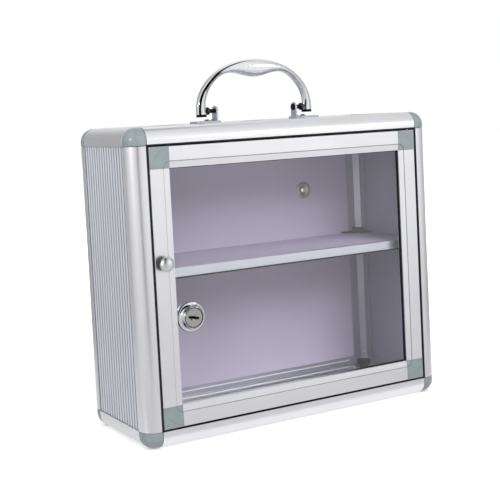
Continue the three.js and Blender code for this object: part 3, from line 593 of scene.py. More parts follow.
def doorBlockShape(withPinHole):
    v = doorBlock
    span, past, low = v["span"], v["past"], v["paneFloor"]
    bead, groove = v["beadRadius"], v["grooveRadius"]
    near, far = v["lineRadius"] - v["lineWidth"] / 2, v["lineRadius"] + v["lineWidth"] / 2
    outlines = (
        [(0, -past), (0, v["beadDrop"] + v["beadFall"]), (bead, v["beadDrop"]),
         (bead, v["grooveDepth"]), (groove, v["grooveDepth"]), (groove, -past)],
        [(near, -past), (near, v["lineDepth"]), (far, v["lineDepth"]), (far, -past)],
    )
    cutters = [
        turned(outline, (span, 0, span), "y", v["sides"], closed=True) for outline in outlines]
    cutters.append(block((low, v["paneFrom"], low), (span + past, v["paneTo"], span + past)))
    if withPinHole:
        cutters.append(rod(v["pinRadius"], -past, v["pinDepth"], v["pinAt"], "z", v["pinSides"]))
    return carved(block((0, 0, 0), (span, v["thick"], span)), cutters)


def addDoorBlocks():
    for side in sides:
        drawn = doorBlockShape(side == "right")
        for level in levels:
            base = door["bottom"] if level == "bottom" else door["bottom"] + door["height"]
            shape = moved(
                mirrored(drawn, -wayTo[side], 1, -wayTo[level]),
                (wayTo[side] * door["width"] / 2, 0, base))
            addPiece(shape, f"door_corner_{level}_{side}", greyPlastic, "door",
                     doorBlock["edge"])
        drawn.free()


addDoorBlocks()
print("door blocks finished")


# Black plastic gussets in the shelf's rear corners, whose black stands in for the shade in the shelf's
# notch round each post: a plate and a collar, each with the length of its leg along the walls, its foot
# and its top
shadeGusset = {
    "wallX": 154.4, "wallY": 114.4, "slant": 4.9, "edge": 0.25,
    "parts": {"Plate": (24.4, 154.05, 155.6), "Collar": (10.9, 155.6, 159.2)},
}
# A thin black strip under the shelf's trim, which stands in for the shadow there
trimBead = {"low": (-153.0, 12.55, 145.48), "high": (153.0, 14.2, 146.98), "edge": 0.2}
# Two ridges of the rear bottom profile, whose upright faces catch the light from the door and whose
# pale
# colour is a painted highlight: one across its slanted face and one across its lip, each with its front
# and foot
floorRidge = {
    "halfWidth": 133, "height": 1.2, "depth": 1.4, "edge": 0.12,
    "at": {"Slant": (110.7, 9.1), "Lip": (113.1, 15.5)},
}


def plateShape(outline, low, high):
    # an upright prism over an outline of (x, y)
    shape = bmesh.new()
    foot = [shape.verts.new((x, y, low)) for x, y in outline]
    head = [shape.verts.new((x, y, high)) for x, y in outline]
    shape.faces.new(foot)
    shape.faces.new(head)
    for i in range(len(outline)):
        j = (i + 1) % len(outline)
        shape.faces.new((foot[i], foot[j], head[j], head[i]))
    bmesh.ops.recalc_face_normals(shape, faces=shape.faces)
    return shape


def addShadeGussets():
    v = shadeGusset
    x, y, slant = v["wallX"], v["wallY"], v["slant"]
    for side in sides:
        for part, (leg, low, high) in v["parts"].items():
            outline = [(x, y - slant), (x - slant, y), (x - leg, y), (x, y - leg)]
            shape = mirrored(plateShape(outline, low, high), x=wayTo[side])
            # black as painted shade in the shelf's notch
            addTrim(shape, f"shelfGusset{part}{side.capitalize()}", blackPlastic, "cabinet",
                    v["edge"])


def addTrimShadowStrip():
    # a black strip as painted shadow under the trim
    addTrim(block(trimBead["low"], trimBead["high"]), "trimBead", rubber, "cabinet",
            trimBead["edge"])


def addFloorRidges():
    v = floorRidge
    for name, (front, foot) in v["at"].items():
        back, top = front + v["depth"], foot + v["height"]
        shape = block((-v["halfWidth"], front, foot), (v["halfWidth"], back, top))
        addTrim(shape, f"floorRidge{name}", highlightRidges, "cabinet", v["edge"])


addShadeGussets()
addTrimShadowStrip()
addFloorRidges()
print("gussets, trim bead and floor ridges finished")


# A thin black lining in the gap round the door, which stands in for the shade there: a lip over the
# edge of the front profiles, a wall against them and a foot on the stop behind the door's edge, notched
# for the hinge pins
gapShadeLining = {
    "outer": 16.02, "wall": 0.26, "inner": 19.3, "front": 1.2, "stop": 10.6, "back": 10.9,
    "pinAt": (137.2, 3.3), "notch": 2.6, "past": 1,
    "lip": 1.1, "lipBelow": 0.35, "lipFront": -0.14, "lipBack": -0.02, "seam": 0.01,
}


def framed(inset, front, back):
    # a block over the front opening, from the cabinet's outline inset on all four sides
    halfWidth = cabinet["width"] / 2 - inset
    return block((-halfWidth, front, inset), (halfWidth, back, cabinet["height"] - inset))


def addGapShadeLining():
    v = gapShadeLining
    x, y = v["pinAt"]
    notch, past, within = v["notch"], v["past"], v["outer"] + v["wall"]
    # a black lining as painted shade in the door gap
    lining = carved(framed(v["outer"], v["front"], v["back"]), [
        framed(within, v["front"] - past, v["stop"]),
        framed(v["inner"], v["front"] - past, v["back"] + past),
        block((x - notch, y - notch, 0), (x + notch, y + notch, cabinet["height"])),
    ])
    addTrim(lining, "gapShadeLining", rubber, "cabinet")
    halfWidth = cabinet["width"] / 2
    lip = carved(framed(v["outer"] - v["lip"], v["lipFront"], v["lipBack"]), [
        framed(within, -past, past),
        block((-halfWidth, -past, 0), (halfWidth, past, v["outer"] - v["lipBelow"])),
    ])
    wall = carved(
        framed(v["outer"] + v["seam"], v["lipBack"], v["front"]), [framed(within, -past, 2 * past)])
    addTrim(joined(lip, wall), "gapShadeLiningLip", rubber, "cabinet")


addGapShadeLining()
print("gap seal finished")


# Geometry Nodes helpers: a tree with named inputs, run once and kept as a plain mesh
def startTree(name, inputs):
    tree = bpy.data.node_groups.new(name, "GeometryNodeTree")
    tree.interface.new_socket("Geometry", in_out="INPUT", socket_type="NodeSocketGeometry")
    for inputName, kind in inputs.items():
        tree.interface.new_socket(inputName, in_out="INPUT", socket_type=f"NodeSocket{kind}")
    tree.interface.new_socket("Geometry", in_out="OUTPUT", socket_type="NodeSocketGeometry")
    return tree, addNode(tree, "NodeGroupInput").outputs


def endTree(tree, geometry, material):
    whole = addNode(tree, "GeometryNodeRealizeInstances", {"Geometry": geometry})
    painted = addNode(tree, "GeometryNodeSetMaterial", {"Geometry": whole, "Material": material})
    addNode(tree, "NodeGroupOutput", {"Geometry": painted})


def meshFromTree(tree, values, name, start=None):
    carrier = linked(name, start or bpy.data.meshes.new(name))
    modifier = carrier.modifiers.new(name, "NODES")
    modifier.node_group = tree
    for item in tree.interface.items_tree:
        if item.in_out == "INPUT" and item.name in values:
            value = values[item.name]
            if isinstance(value, tuple):
                value = [float(number) for number in value]
            modifier[item.identifier] = value
    carrier.update_tag()
    evaluated = carrier.evaluated_get(bpy.context.evaluated_depsgraph_get())
    mesh = bpy.data.meshes.new_from_object(evaluated)
    bpy.data.objects.remove(carrier)
    return mesh


# Ribbed panels: a plate and half round ribs in a row, drawn with the ribs along z, the outer
# face towards -x and the row along y, then turned into place
ribbedPanel = {
    "edgeFrom": 10.8, "outer": 1.5, "inner": 5.0, "ribFrom": 16.25, "rowFrom": 16, "ribCount": 16,
    "ribShare": 0.62, "ribHeight": 0.6, "ribSides": 28,
}


def ribbedPanelTree():
    tree, given = startTree("ribbed panel", {
        "Plate Size": "Vector", "Plate Centre": "Vector", "Rib Count": "Int", "Rib Sides": "Int",
        "First Rib": "Vector", "Rib Step": "Vector", "Rib Size": "Vector", "Material": "Material",
    })
    cube = addNode(tree, "GeometryNodeMeshCube", {"Size": given["Plate Size"]})
    plate = addNode(tree, "GeometryNodeTransform", {
        "Geometry": cube, "Translation": given["Plate Centre"],
    })
    barrel = addNode(tree, "GeometryNodeMeshCylinder", {
        "Vertices": given["Rib Sides"], "Radius": 1.0, "Depth": 1.0,
    })
    rib = addNode(tree, "GeometryNodeTransform", {"Geometry": barrel, "Scale": given["Rib Size"]})
    row = addNode(tree, "GeometryNodeMeshLine", {
        "Count": given["Rib Count"], "Start Location": given["First Rib"],
        "Offset": given["Rib Step"],
    }, mode="OFFSET")
    ribs = addNode(tree, "GeometryNodeInstanceOnPoints", {"Points": row, "Instance": rib})
    both = addNode(tree, "GeometryNodeJoinGeometry", {"Geometry": plate})
    tree.links.new(ribs.outputs["Instances"], both.inputs["Geometry"])
    endTree(tree, both, given["Material"])
    return tree


def addRibbedPanels():
    v = ribbedPanel
    tree = ribbedPanelTree()
    width, height, depth = cabinet["width"], cabinet["height"], cabinet["depth"]
    pitch = (depth - 2 * v["rowFrom"]) / v["ribCount"]
    outer, inner = v["outer"], v["inner"]
    # each panel: the length along its ribs, the rows of the turn from drawn to placed, its corner
    panels = {
        "side_panel_left": (height, ((1, 0, 0), (0, 1, 0), (0, 0, 1)), (-width / 2, 0, 0)),
        "side_panel_right": (height, ((-1, 0, 0), (0, -1, 0), (0, 0, 1)), (width / 2, depth, 0)),
        "top_panel": (width, ((0, 0, 1), (0, 1, 0), (-1, 0, 0)), (-width / 2, 0, height)),
        "bottom_panel": (width, ((0, 0, 1), (0, -1, 0), (1, 0, 0)), (-width / 2, depth, 0)),
    }
    for node, (length, rows, corner) in panels.items():
        across, upright = depth - 2 * v["edgeFrom"], length - 2 * v["edgeFrom"]
        mesh = meshFromTree(tree, {
            "Plate Size": (inner - outer, across, upright),
            "Plate Centre": ((inner + outer) / 2, depth / 2, length / 2),
            "Rib Count": v["ribCount"],
            "Rib Sides": v["ribSides"],
            "First Rib": (outer, (depth - pitch * (v["ribCount"] - 1)) / 2, length / 2),
            "Rib Step": (0, pitch, 0),
            "Rib Size": (v["ribHeight"], pitch * v["ribShare"] / 2, length - 2 * v["ribFrom"]),
            "Material": ribbedAluminium,
        }, node)
        slots = [0] * len(mesh.polygons)
        for face in mesh.polygons:
            if face.center.x > inner - meshing["weld"]:
                slots[face.index] = 1
            elif abs(face.center.x - outer) < meshing["weld"] and face.area > across * upright / 2:
                slots[face.index] = 2
        mesh.transform(toPart @ Matrix.Translation(corner) @ Matrix(rows).to_4x4())
        finished(mesh, camel(node), ribbedAluminium, "cabinet", [node], 0)
        # the bare inner face, which on the bottom panel is painted lighter where light falls
        mesh.materials.append(trayPaintedLighter if node == "bottom_panel" else bareAluminiumAndShade)
        # painted shade on the plate between the ribs
        mesh.materials.append(shadeBetweenRibs)
        mesh.polygons.foreach_set("material_index", slots)


addRibbedPanels()
print("ribbed panels finished")


# Fasteners that repeat: the heads of small screws on a row of points, each turned to its point's
# direction, and the turned rivets of the handle's brackets
cornerScrews = {
    "headRadius": 2.3, "headHeight": 1.0, "headSides": 28, "headRings": 14,
    "slotLength": 2.6, "slotWidth": 0.55, "slotDepth": 0.7,
    "fromEnd": 22.5, "slantAt": 8.95, "frontAcross": 10.6, "stopBack": 12.0,
}
bracketRivets = {
    "headRadius": 3.1, "headHeight": 1.5, "headSeat": 282.05, "domeSteps": 6, "at": (49.6, 6.4),
    "shankRadius": 1.6, "tailSeat": 274.75, "tailHeight": 1.2, "sides": 36, "edge": 0.15,
}


def headTree():
    tree, given = startTree("fastener heads", {
        "Head Sides": "Int", "Head Rings": "Int", "Head Size": "Vector", "Recess Long": "Vector",
        "Recess Wide": "Vector", "Recess Lift": "Vector", "Material": "Material",
    })
    ball = addNode(tree, "GeometryNodeMeshUVSphere", {
        "Segments": given["Head Sides"], "Rings": given["Head Rings"], "Radius": 1.0,
    })
    head = addNode(tree, "GeometryNodeTransform", {"Geometry": ball, "Scale": given["Head Size"]})
    for size in ("Recess Long", "Recess Wide"):
        bar = addNode(tree, "GeometryNodeMeshCube", {"Size": given[size]})
        raised = addNode(tree, "GeometryNodeTransform", {
            "Geometry": bar, "Translation": given["Recess Lift"],
        })
        head = addNode(tree, "GeometryNodeMeshBoolean", {
            "Mesh 1": head, "Mesh 2": raised,
        }, operation="DIFFERENCE", solver="EXACT")
    aim = addNode(
        tree, "GeometryNodeInputNamedAttribute", {"Name": "aim"}, data_type="FLOAT_VECTOR")
    turn = addNode(tree, "FunctionNodeAlignRotationToVector", {"Vector": aim}, axis="Z")
    heads = addNode(tree, "GeometryNodeInstanceOnPoints", {
        "Points": given["Geometry"], "Instance": head, "Rotation": turn,
    })
    endTree(tree, heads, given["Material"])
    return tree


def pointMesh(name, places):
    mesh = bpy.data.meshes.new(name)
    mesh.from_pydata([place for place, aim in places], [], [])
    aims = mesh.attributes.new("aim", "FLOAT_VECTOR", "POINT")
    aims.data.foreach_set("vector", [number for place, aim in places for number in aim])
    return mesh


def screwPlaces():
    # near each end of every profile, on the face that looks into the cabinet
    v = cornerScrews
    middleX, middleZ, depth = cabinet["width"] / 2, cabinet["height"] / 2, cabinet["depth"]
    near, slant, across, back = v["fromEnd"], v["slantAt"], v["frontAcross"], v["stopBack"]
    places = []
    for x in (-1, 1):
        for z in (-1, 1):
            slantX, slantZ = x * (middleX - slant), middleZ + z * (middleZ - slant)
            nearX, nearZ = x * (middleX - near), middleZ + z * (middleZ - near)
            places += [
                ((slantX, near, slantZ), (-x, 0, -z)),
                ((slantX, depth - near, slantZ), (-x, 0, -z)),
                ((slantX, depth - slant, nearZ), (-x, -1, 0)),
                ((nearX, depth - slant, slantZ), (0, -1, -z)),
                ((x * (middleX - across), back, nearZ), (0, 1, 0)),
                ((nearX, back, middleZ + z * (middleZ - across)), (0, 1, 0)),
            ]
    return places


def addCornerScrews():
    v = cornerScrews
    mesh = meshFromTree(headTree(), {
        "Head Sides": v["headSides"],
        "Head Rings": v["headRings"],
        "Head Size": (v["headRadius"], v["headRadius"], v["headHeight"]),
        "Recess Long": (v["slotLength"], v["slotWidth"], v["slotDepth"] * 2),
        "Recess Wide": (v["slotWidth"], v["slotLength"], v["slotDepth"] * 2),
        "Recess Lift": (0, 0, v["headHeight"]),
        "Material": zinc,
    }, "cornerScrews", pointMesh("screw places", screwPlaces()))
    mesh.transform(toPart)
    finished(mesh, "cornerScrews", zinc, "cabinet", [], 0)


def addBracketRivets():
    v = bracketRivets
    x, y = v["at"]
    head, shank, top, seat = v["headRadius"], v["shankRadius"], v["headSeat"], v["tailSeat"]
    foot = seat - v["tailHeight"]
    outline = domed(head, v["headHeight"], top, v["domeSteps"]) + [
        (shank, top), (shank, seat), (head, seat), (head, foot), (0, foot)]
    for side in sides:
        for end in ("front", "rear"):
            place = (wayTo[side] * x, cabinet["depth"] / 2 + wayTo[end] * y, 0)
            addPiece(turned(outline, place, "z", v["sides"]), f"bracket_rivet_{side}_{end}",
                     zinc, "cabinet", v["edge"])


addCornerScrews()
addBracketRivets()
print("screws and rivets finished")


# Handle: an arch swept from one leg's end to the other. The outer edge is half an ellipse, the
# thickness grows into the finger bulge and the depth grows towards the grip. The legs carry four
# long facets, which fade out towards the grip.
handle = {
    "halfWidth": 63.4, "rise": 47.5, "endDrop": 5.5, "pivot": 291, "legThickness": 9.8,
    "legHalfDepth": 3.8, "taper": 1.6, "gripThickness": 4.5, "bulge": 12.5, "bulgeHalfLength": 44,
    "gripHalfDepth": 7.6, "squareness": 2.5, "steps": 150, "sides": 48, "edge": 0.7,
    "facetWay": (0.446, 0.895), "facetCut": 0.085, "darkReflectionEnd": 2.6,
    "pinHole": 2.3, "pinHoleDepth": 6.8, "pinHoleSides": 32, "past": 1,
}
pivotAt = (0, cabinet["depth"] / 2, handle["pivot"])
# The pins and the black washers that turn with the legs on them, with distances from the middle
handlePin = {
    "headRadius": 3.2, "headFrom": 41.55, "headTo": 42.95, "radius": 2.0, "tip": 59.9,
    "dome": [(-1.6, 0.09), (-0.48, 0.3), (0, 0.6)], "sides": 40, "edge": 0.25,
}
handleWasher = {
    "radius": 3.6, "bore": 2.15, "from": 50.8, "to": 53.3, "sides": 48, "edge": 0.5,
}


def handleSection(share):
    v = handle
    arch = math.pi * (v["halfWidth"] + v["rise"]) / 2
    travel = share * (arch + v["endDrop"] * 2) - v["endDrop"]
    angle = math.pi * min(max(travel / arch, 0), 1)
    drop = max(-travel, travel - arch, 0)
    rise = math.sin(angle)
    outer = Vector((-v["halfWidth"] * math.cos(angle), v["pivot"] + v["rise"] * rise - drop))
    inward = Vector((v["rise"] * math.cos(angle), -v["halfWidth"] * rise)).normalized()
    bulge = math.cos(math.pi / 2 * min(abs(outer.x) / v["bulgeHalfLength"], 1)) ** 2
    taper = 1 - (1 - rise) ** v["taper"]
    thickness = (
        v["legThickness"] + (v["gripThickness"] - v["legThickness"]) * taper + v["bulge"] * bulge)
    halfDepth = v["legHalfDepth"] + (v["gripHalfDepth"] - v["legHalfDepth"]) * rise ** 2
    return outer, inward, thickness, halfDepth


def handleShape():
    v = handle
    shape = bmesh.new()
    power = 2 / v["squareness"]
    dual = v["squareness"] / (v["squareness"] - 1)
    facet = Vector(v["facetWay"]).normalized()

    def rounded(value):
        return math.copysign(abs(value) ** power, value)

    rings = []
    for i in range(v["steps"] + 1):
        share = i / v["steps"]
        outer, inward, thickness, halfDepth = handleSection(share)
        ring = []
        size = Vector((thickness / 2, halfDepth))
        reach = sum((a * b) ** dual for a, b in zip(size, facet)) ** (1 / dual)
        reach *= 1 - v["facetCut"] * (1 - math.sin(math.pi * share) ** 3)
        for j in range(v["sides"]):
            around = math.tau * j / v["sides"]
            place = Vector((size.x * rounded(math.cos(around)), size.y * rounded(math.sin(around))))
            folded = Vector((abs(place.x), abs(place.y)))
            folded -= facet * max(folded.dot(facet) - reach, 0)
            across = size.x - math.copysign(folded.x, place.x)
            y = pivotAt[1] + math.copysign(folded.y, place.y)
            ring.append(shape.verts.new(
                (outer.x + inward.x * across, y, outer.y + inward.y * across)))
        rings.append(ring)
    for low, high in zip(rings, rings[1:]):
        for j in range(v["sides"]):
            k = (j + 1) % v["sides"]
            shape.faces.new((low[j], low[k], high[k], high[j]))
    shape.faces.new(rings[0])
    shape.faces.new(rings[-1])
    bmesh.ops.recalc_face_normals(shape, faces=shape.faces)
    inner = v["halfWidth"] - v["legThickness"]
    holes = []
    for way in (-1, 1):
        start, end = sorted((way * (inner - v["past"]), way * (inner + v["pinHoleDepth"])))
        holes.append(rod(v["pinHole"], start, end, pivotAt, "x", v["pinHoleSides"]))
    return carved(shape, holes)


def addHandle():
    v = handle
    grip = addPiece(handleShape(), "handle_grip", chrome, "handle", v["edge"])
    # the end of each leg is painted black as a dark reflection in its rounded foot
    darkReflectionTop = v["pivot"] - v["endDrop"] + v["darkReflectionEnd"]
    paintShadeOnFaces(grip, blackSteel, lambda place, normal: place.z < darkReflectionTop)


def onPivot(outline, side, around, closed=False):
    outline = [(radius, wayTo[side] * distance) for radius, distance in outline]
    return turned(outline, pivotAt, "x", around, closed)


def addHandlePins():
    v = handlePin
    radius, start, end = v["radius"], v["headFrom"], v["headTo"]
    outline = [
        (0, start), *stepsFrom(v["headRadius"], start, v["dome"]), (v["headRadius"], end),
        (radius, end), (radius, v["tip"]), (0, v["tip"]),
    ]
    for side in sides:
        addPiece(onPivot(outline, side, v["sides"]), f"handle_pin_{side}", blackSteel, "cabinet",
                 v["edge"])


def addHandleWashers():
    v = handleWasher
    outline = [
        (v["bore"], v["from"]), (v["radius"], v["from"]), (v["radius"], v["to"]), (v["bore"], v["to"])]
    for side in sides:
        addTrim(onPivot(outline, side, v["sides"], closed=True), f"handleWasher{side.capitalize()}",
                blackPlastic, "handle", v["edge"])


addHandle()
addHandlePins()
addHandleWashers()
print("handle finished")


# Knob: a mushroom head on a short stem with a small foot, painted black as shade behind the head
knob = {
    "x": -134.5, "z": 162, "headRadius": 6.5, "headLength": 4.5, "rim": 6.5, "domeSteps": 14,
    "headBack": 4.5, "chamfer": 0.5, "stemRadius": 3.0, "stemFlare": 0.4, "footRadius": 3.9,
    "footLength": 0.8, "base": 0.25, "shadeBand": 0.3, "sides": 56, "edge": 0.25,
}
knobScrew = {
    "radius": 1.5, "from": -3.7, "headRadius": 3.0, "headFrom": 8.25, "headTo": 9.85,
    "crown": [(0, -0.6), (-0.7, -0.15)], "slotLength": 1.7, "slotWidth": 0.35, "slotDepth": 0.8,
    "past": 1, "sides": 36, "edge": 0.1,
}


def addKnob():
    v = knob
    head, stem, foot, cut = v["headRadius"], v["stemRadius"], v["footRadius"], v["chamfer"]
    back, base = -v["headBack"], -v["base"]
    footFront = base - v["footLength"]
    outline = domed(head, -v["headLength"], -v["rim"], v["domeSteps"]) + [
        (head, back - cut), (head - cut, back), (stem + v["stemFlare"], back), (stem, back + cut),
        (stem, footFront - cut), (foot, footFront), (foot, base), (0, base),
    ]
    shape = turned(outline, (v["x"], 0, v["z"]), "y", v["sides"])
    piece = addPiece(shape, "knob", satinChrome, "door", v["edge"], "knobTurned")
    # painted shade: black behind the head
    paintShadeOnFaces(piece, blackSteel, lambda place, normal: place.y > back - v["shadeBand"])


def addKnobScrew():
    v = knobScrew
    x, z, radius, seat, top = knob["x"], knob["z"], v["radius"], v["headFrom"], v["headTo"]
    front, back = top - v["slotDepth"], top + v["past"]
    cross = [
        block((x - long, front, z - high), (x + long, back, z + high))
        for long, high in (
            (v["slotLength"], v["slotWidth"]), (v["slotWidth"], v["slotLength"]))
    ]
    pan = turned([
        (0, v["from"]), (radius, v["from"]), (radius, seat), (v["headRadius"], seat),
        *stepsFrom(v["headRadius"], top, v["crown"]), (0, top),
    ], (x, 0, z), "y", v["sides"])
    addPiece(carved(pan, cross), "knob_screw", zinc, "door", v["edge"], "knobScrewPan")


addKnob()
addKnobScrew()
print("knob finished")


# Cam lock: flanged body, the plug with its keyway, and the screw that holds the cam. The body is
# painted black as shade in the bore round the plug and at the flange's rim.
lock = {
    "x": -109.7, "z": 112, "face": -2.9, "frontRadius": 9.3, "flangeBack": 2.9, "flangeRim": 0.9,
    "flangeRadius": 13.3, "barrelRadius": 9.75, "barrelEnd": 13.2, "bore": 8.5, "boreLip": 0.55,
    # steps from the face's edge, from that radius at the rim's foot, and from the rim itself
    "boreFall": 0.4, "front": [(0, 0), (0.25, 0.35)], "cone": [(0.9, -2.2), (1.8, -0.9)],
    "rim": [(-1.1, -0.15), (-0.35, -0.05), (0, 0.3)], "shadeInBore": 0.1, "shadeAtRim": 0.25,
    "sides": 96, "edge": 0.15,
}
plug = {
    "radius": 8.2, "sink": 0.25, "past": 1,
    "keyway": (10.5, 2.3), "keywayDepth": 7, "keywayTurn": 12, "ward": (1.1, 1.2), "wardDepth": 4,
    "dimpleRadius": 2.6, "dimpleDepth": 0.9, "dimple": [(0.26, -1), (0, 0), (-1.04, 0.675)],
    "dimpleSides": 48, "tailHalf": 3.2, "tailGap": 0.05, "tailEnd": 17.2, "tailTurn": 30,
    "skin": 0.1, "edge": 0.15,
}
camScrew = {
    "radius": 3.5, "from": 17.45, "height": 1.8, "rimHeight": 0.9,
    "crown": [(-0.7, -0.25), (-1.75, 0)], "slotHalf": 0.45, "slotReach": 5, "slotDepth": 0.7,
    "past": 1, "sides": 40, "edge": 0.2,
}
lockAt = (lock["x"], 0, lock["z"])


def fromLockAxis(place):
    return math.hypot(place.x - lock["x"], place.z - lock["z"])


def addLockBody():
    v = lock
    face, back, end, foot = v["face"], v["flangeBack"], v["barrelEnd"], v["flangeBack"] - v["flangeRim"]
    bore, front, flange, barrel = v["bore"], v["frontRadius"], v["flangeRadius"], v["barrelRadius"]
    outline = [
        (bore, face + v["boreFall"]), (bore + v["boreLip"], face), *stepsFrom(front, face, v["front"]),
        *stepsFrom(front, foot, v["cone"]), *stepsFrom(flange, foot, v["rim"]),
        (flange, back), (barrel, back), (barrel, end), (bore, end),
    ]
    shape = turned(outline, lockAt, "y", v["sides"], closed=True)
    piece = addPiece(shape, "lock_body", chrome, "door", v["edge"], "lockBodyTurned")

    # painted shade: black in the bore round the plug and at the flange's rim
    def shadedRing(place, normal):
        bright = bore + v["boreLip"] - v["shadeInBore"] <= fromLockAxis(place) <= flange - v["shadeAtRim"]
        return not bright

    paintShadeOnFaces(piece, blackSteel, shadedRing)


def addLockPlug():
    v = plug
    face, end, past = lock["face"] + v["sink"], lock["barrelEnd"], v["past"]
    width, height = v["keyway"]
    wardWide, wardHigh = v["ward"]
    floor = face + v["keywayDepth"]
    keyway = block((-width / 2, face - past, -height / 2), (width / 2, floor, height / 2))
    ward = block(
        (-width / 4, face - past, -height),
        (-width / 4 + wardWide, face + v["wardDepth"], -height + wardHigh))
    for cutter in (keyway, ward):
        cutter.transform(Matrix.Rotation(math.radians(v["keywayTurn"]), 4, "Y"))
    dimple = turned([
        (0, face - past), *stepsFrom(v["dimpleRadius"], face, v["dimple"]),
        (0, face + v["dimpleDepth"]),
    ], (0, 0, 0), "y", v["dimpleSides"])
    body = rod(v["radius"], face, end, (0, 0, 0), "y", lock["sides"])
    half = v["tailHalf"]
    tail = block((-half, end + v["tailGap"], -half), (half, v["tailEnd"], half))
    tail.transform(Matrix.Rotation(math.radians(v["tailTurn"]), 4, "Y"))
    shape = moved(joined(carved(body, [keyway, ward, dimple]), tail), lockAt)
    piece = addPiece(
        shape, "lock_plug", nickel, "lock_cylinder", v["edge"], "lockPlugTurned")

    def inKeyway(place, normal):
        # its floor, and the walls, which face sideways and lie deeper than the plug's face
        isFloor = abs(place.y - floor) < v["skin"]
        isWall = face + v["skin"] < place.y < end - v["skin"] and abs(normal.y) < 0.5
        return fromLockAxis(place) < width / 2 and (isFloor or isWall)

    # painted shade: the keyway's floor and walls are black
    paintShadeOnFaces(piece, blackSteel, inKeyway)


def addCamScrew():
    v = camScrew
    radius, start, end = v["radius"], v["from"], v["from"] + v["height"]
    head = turned([
        (0, start), (radius, start), (radius, start + v["rimHeight"]),
        *stepsFrom(radius, end, v["crown"]), (0, end),
    ], (0, 0, 0), "y", v["sides"])
    reach, half = v["slotReach"], v["slotHalf"]
    slot = block((-reach, end - v["slotDepth"], -half), (reach, end + v["past"], half))
    addPiece(moved(carved(head, [slot]), lockAt), "cam_screw", zinc, "lock_cylinder",
             v["edge"], "camScrewHead")


addLockBody()
addLockPlug()
addCamScrew()
print("lock finished")


# Bushes that line the two hanging holes in the back panel
bush = {
    "x": 85, "z": 204, "front": 112.9, "back": 114.7, "sleeveEnd": 118.5,
    "holeRadius": 2.2, "sleeveRadius": 4.5, "dishRadius": 5.2, "flangeRadius": 8.2,
    "floor": [(0, -0.1), (1.0, -0.5)], "dish": [(-0.5, 0.35), (0.4, 0)],
    "rim": [(-0.9, 0.1), (0, 0.7)], "sides": 64, "edge": 0.2,
}


def addBushes():
    v = bush
    hole, sleeve, flange = v["holeRadius"], v["sleeveRadius"], v["flangeRadius"]
    front, back, end = v["front"], v["back"], v["sleeveEnd"]
    outline = [
        *stepsFrom(hole, back, v["floor"]), *stepsFrom(v["dishRadius"], front, v["dish"]),
        *stepsFrom(flange, front, v["rim"]), (flange, back), (sleeve, back), (sleeve, end), (hole, end),
    ]
    for side in sides:
        shape = turned(outline, (wayTo[side] * v["x"], 0, v["z"]), "y", v["sides"], closed=True)
        addPiece(shape, f"hanging_bush_{side}", nickel, "cabinet", v["edge"])


addBushes()

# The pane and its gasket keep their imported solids
for node, material in (("door_pane", acrylic), ("door_gasket", paleRunRubber)):
    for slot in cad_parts[node].material_slots:
        slot.material = material
print("bushes, pane and gasket finished")


# Floor, light and background
studio = {
    "floorSize": 6.0, "floorDepth": 0.02, "floorColour": "#d9d9db", "floorInGloss": "#303032",
    "ambient": 0.3,
    "lamps": [
        # name, place, aimed at, size, watts, seen in gloss
        ("key", (0.1, -1.7, 1.4), (0, 0, 0.15), 1.4, 46, False),
        ("fill", (-1.3, -1.2, 0.6), (0, 0, 0.15), 0.9, 6, False),
        ("rear", (0.5, 1.6, 1.1), (0, 0, 0.15), 1.0, 16, False),
        ("side", (-0.6, 0.35, 0.8), (-0.1, 0, 0.2), 0.3, 3, False),
        ("leftSpot", (-1.4, -0.3, 0.67), (0, 0, 0.2), 0.2, 5.5, True),
        ("rightSpot", (0.88, -1.26, 0.63), (0, 0, 0.2), 0.2, 0.9, True),
    ],
    # how bright the white sheets round the object look to metal: degrees round, level
    "round": [
        (-180, 0.82), (-156, 0.85), (-141, 0.83), (-124, 0.78), (-98, 0.84), (-80, 0.91),
        (-65, 1.03), (-52, 1.02), (-40, 0.82), (-15, 0.6), (20, 0.5), (40, 0.72), (55, 0.9),
        (62, 0.92), (80, 0.72), (97, 0.5), (114, 0.34), (129, 0.53), (144, 0.66), (159, 0.75),
        (174, 0.8), (180, 0.82),
    ],
    # Each row of four below is a smooth change: where it starts and ends, and its levels there.
    # a dark gap behind the camera that runs up past the zenith: its normal, its edge as a sine,
    # and how it widens with height
    "gapNormal": (0.9205, -0.391, 0), "gapEdge": (0.06, 0.12, 1.0, 0.0),
    "gapSpread": (0.08, 0.35, 1.0, 3.6),
    # the side of the sky that the gap stays on
    "gapSide": (-0.276, -0.651, 0.707), "gapSideEdge": (0.14, 0.3, 0.0, 1.0),
    # how much brighter the top sheet is, by height and by depth
    "sheetRise": (0.6, 0.80, 0.0, 0.6), "sheetDepth": (-0.4, 0.0, 0.0, 1.0),
    # how strongly the floor glows to the eye, by the distance from under the object
    "floorGlow": (0.2, 1.6, 0.35, 1.0),
    # the floor in metal: its level under the object, where that ends, and its level beyond
    "underObject": 0.82, "underEdge": (0.16, 0.22, 0.0, 1.0), "floorLevel": (0.3, 2.4, 0.7, 1.0),
    # the floor takes up the sky's pattern in metal, and near the object it has a plain level
    "patternEdge": (0.3, 0.6, 0.0, 1.0), "plainLevel": 0.92,
    # two strips of floor in front of the face, by depth: a bright one close to it, one beyond
    # it, and where both end
    "closeStrip": 1.3, "closeEdge": (-0.075, -0.062, 0.0, 1.0),
    "nextStrip": (-0.17, -0.1, 1.0, 0.84), "stripsEnd": (-0.05, -0.04, 1.0, 0.0),
}
smooth = {"interpolation_type": "SMOOTHSTEP"}
product = {"operation": "MULTIPLY"}


def addLamps():
    for name, place, target, size, watts, glossy in studio["lamps"]:
        data = bpy.data.lights.new(name, "AREA")
        data.shape = "DISK"
        data.size = size
        data.energy = watts
        lamp = linked(name, data)
        aim = (Vector(target) - Vector(place)).to_track_quat("-Z", "Y").to_matrix().to_4x4()
        lamp.matrix_world = Matrix.Translation(place) @ aim
        lamp.visible_camera = False
        lamp.visible_glossy = glossy


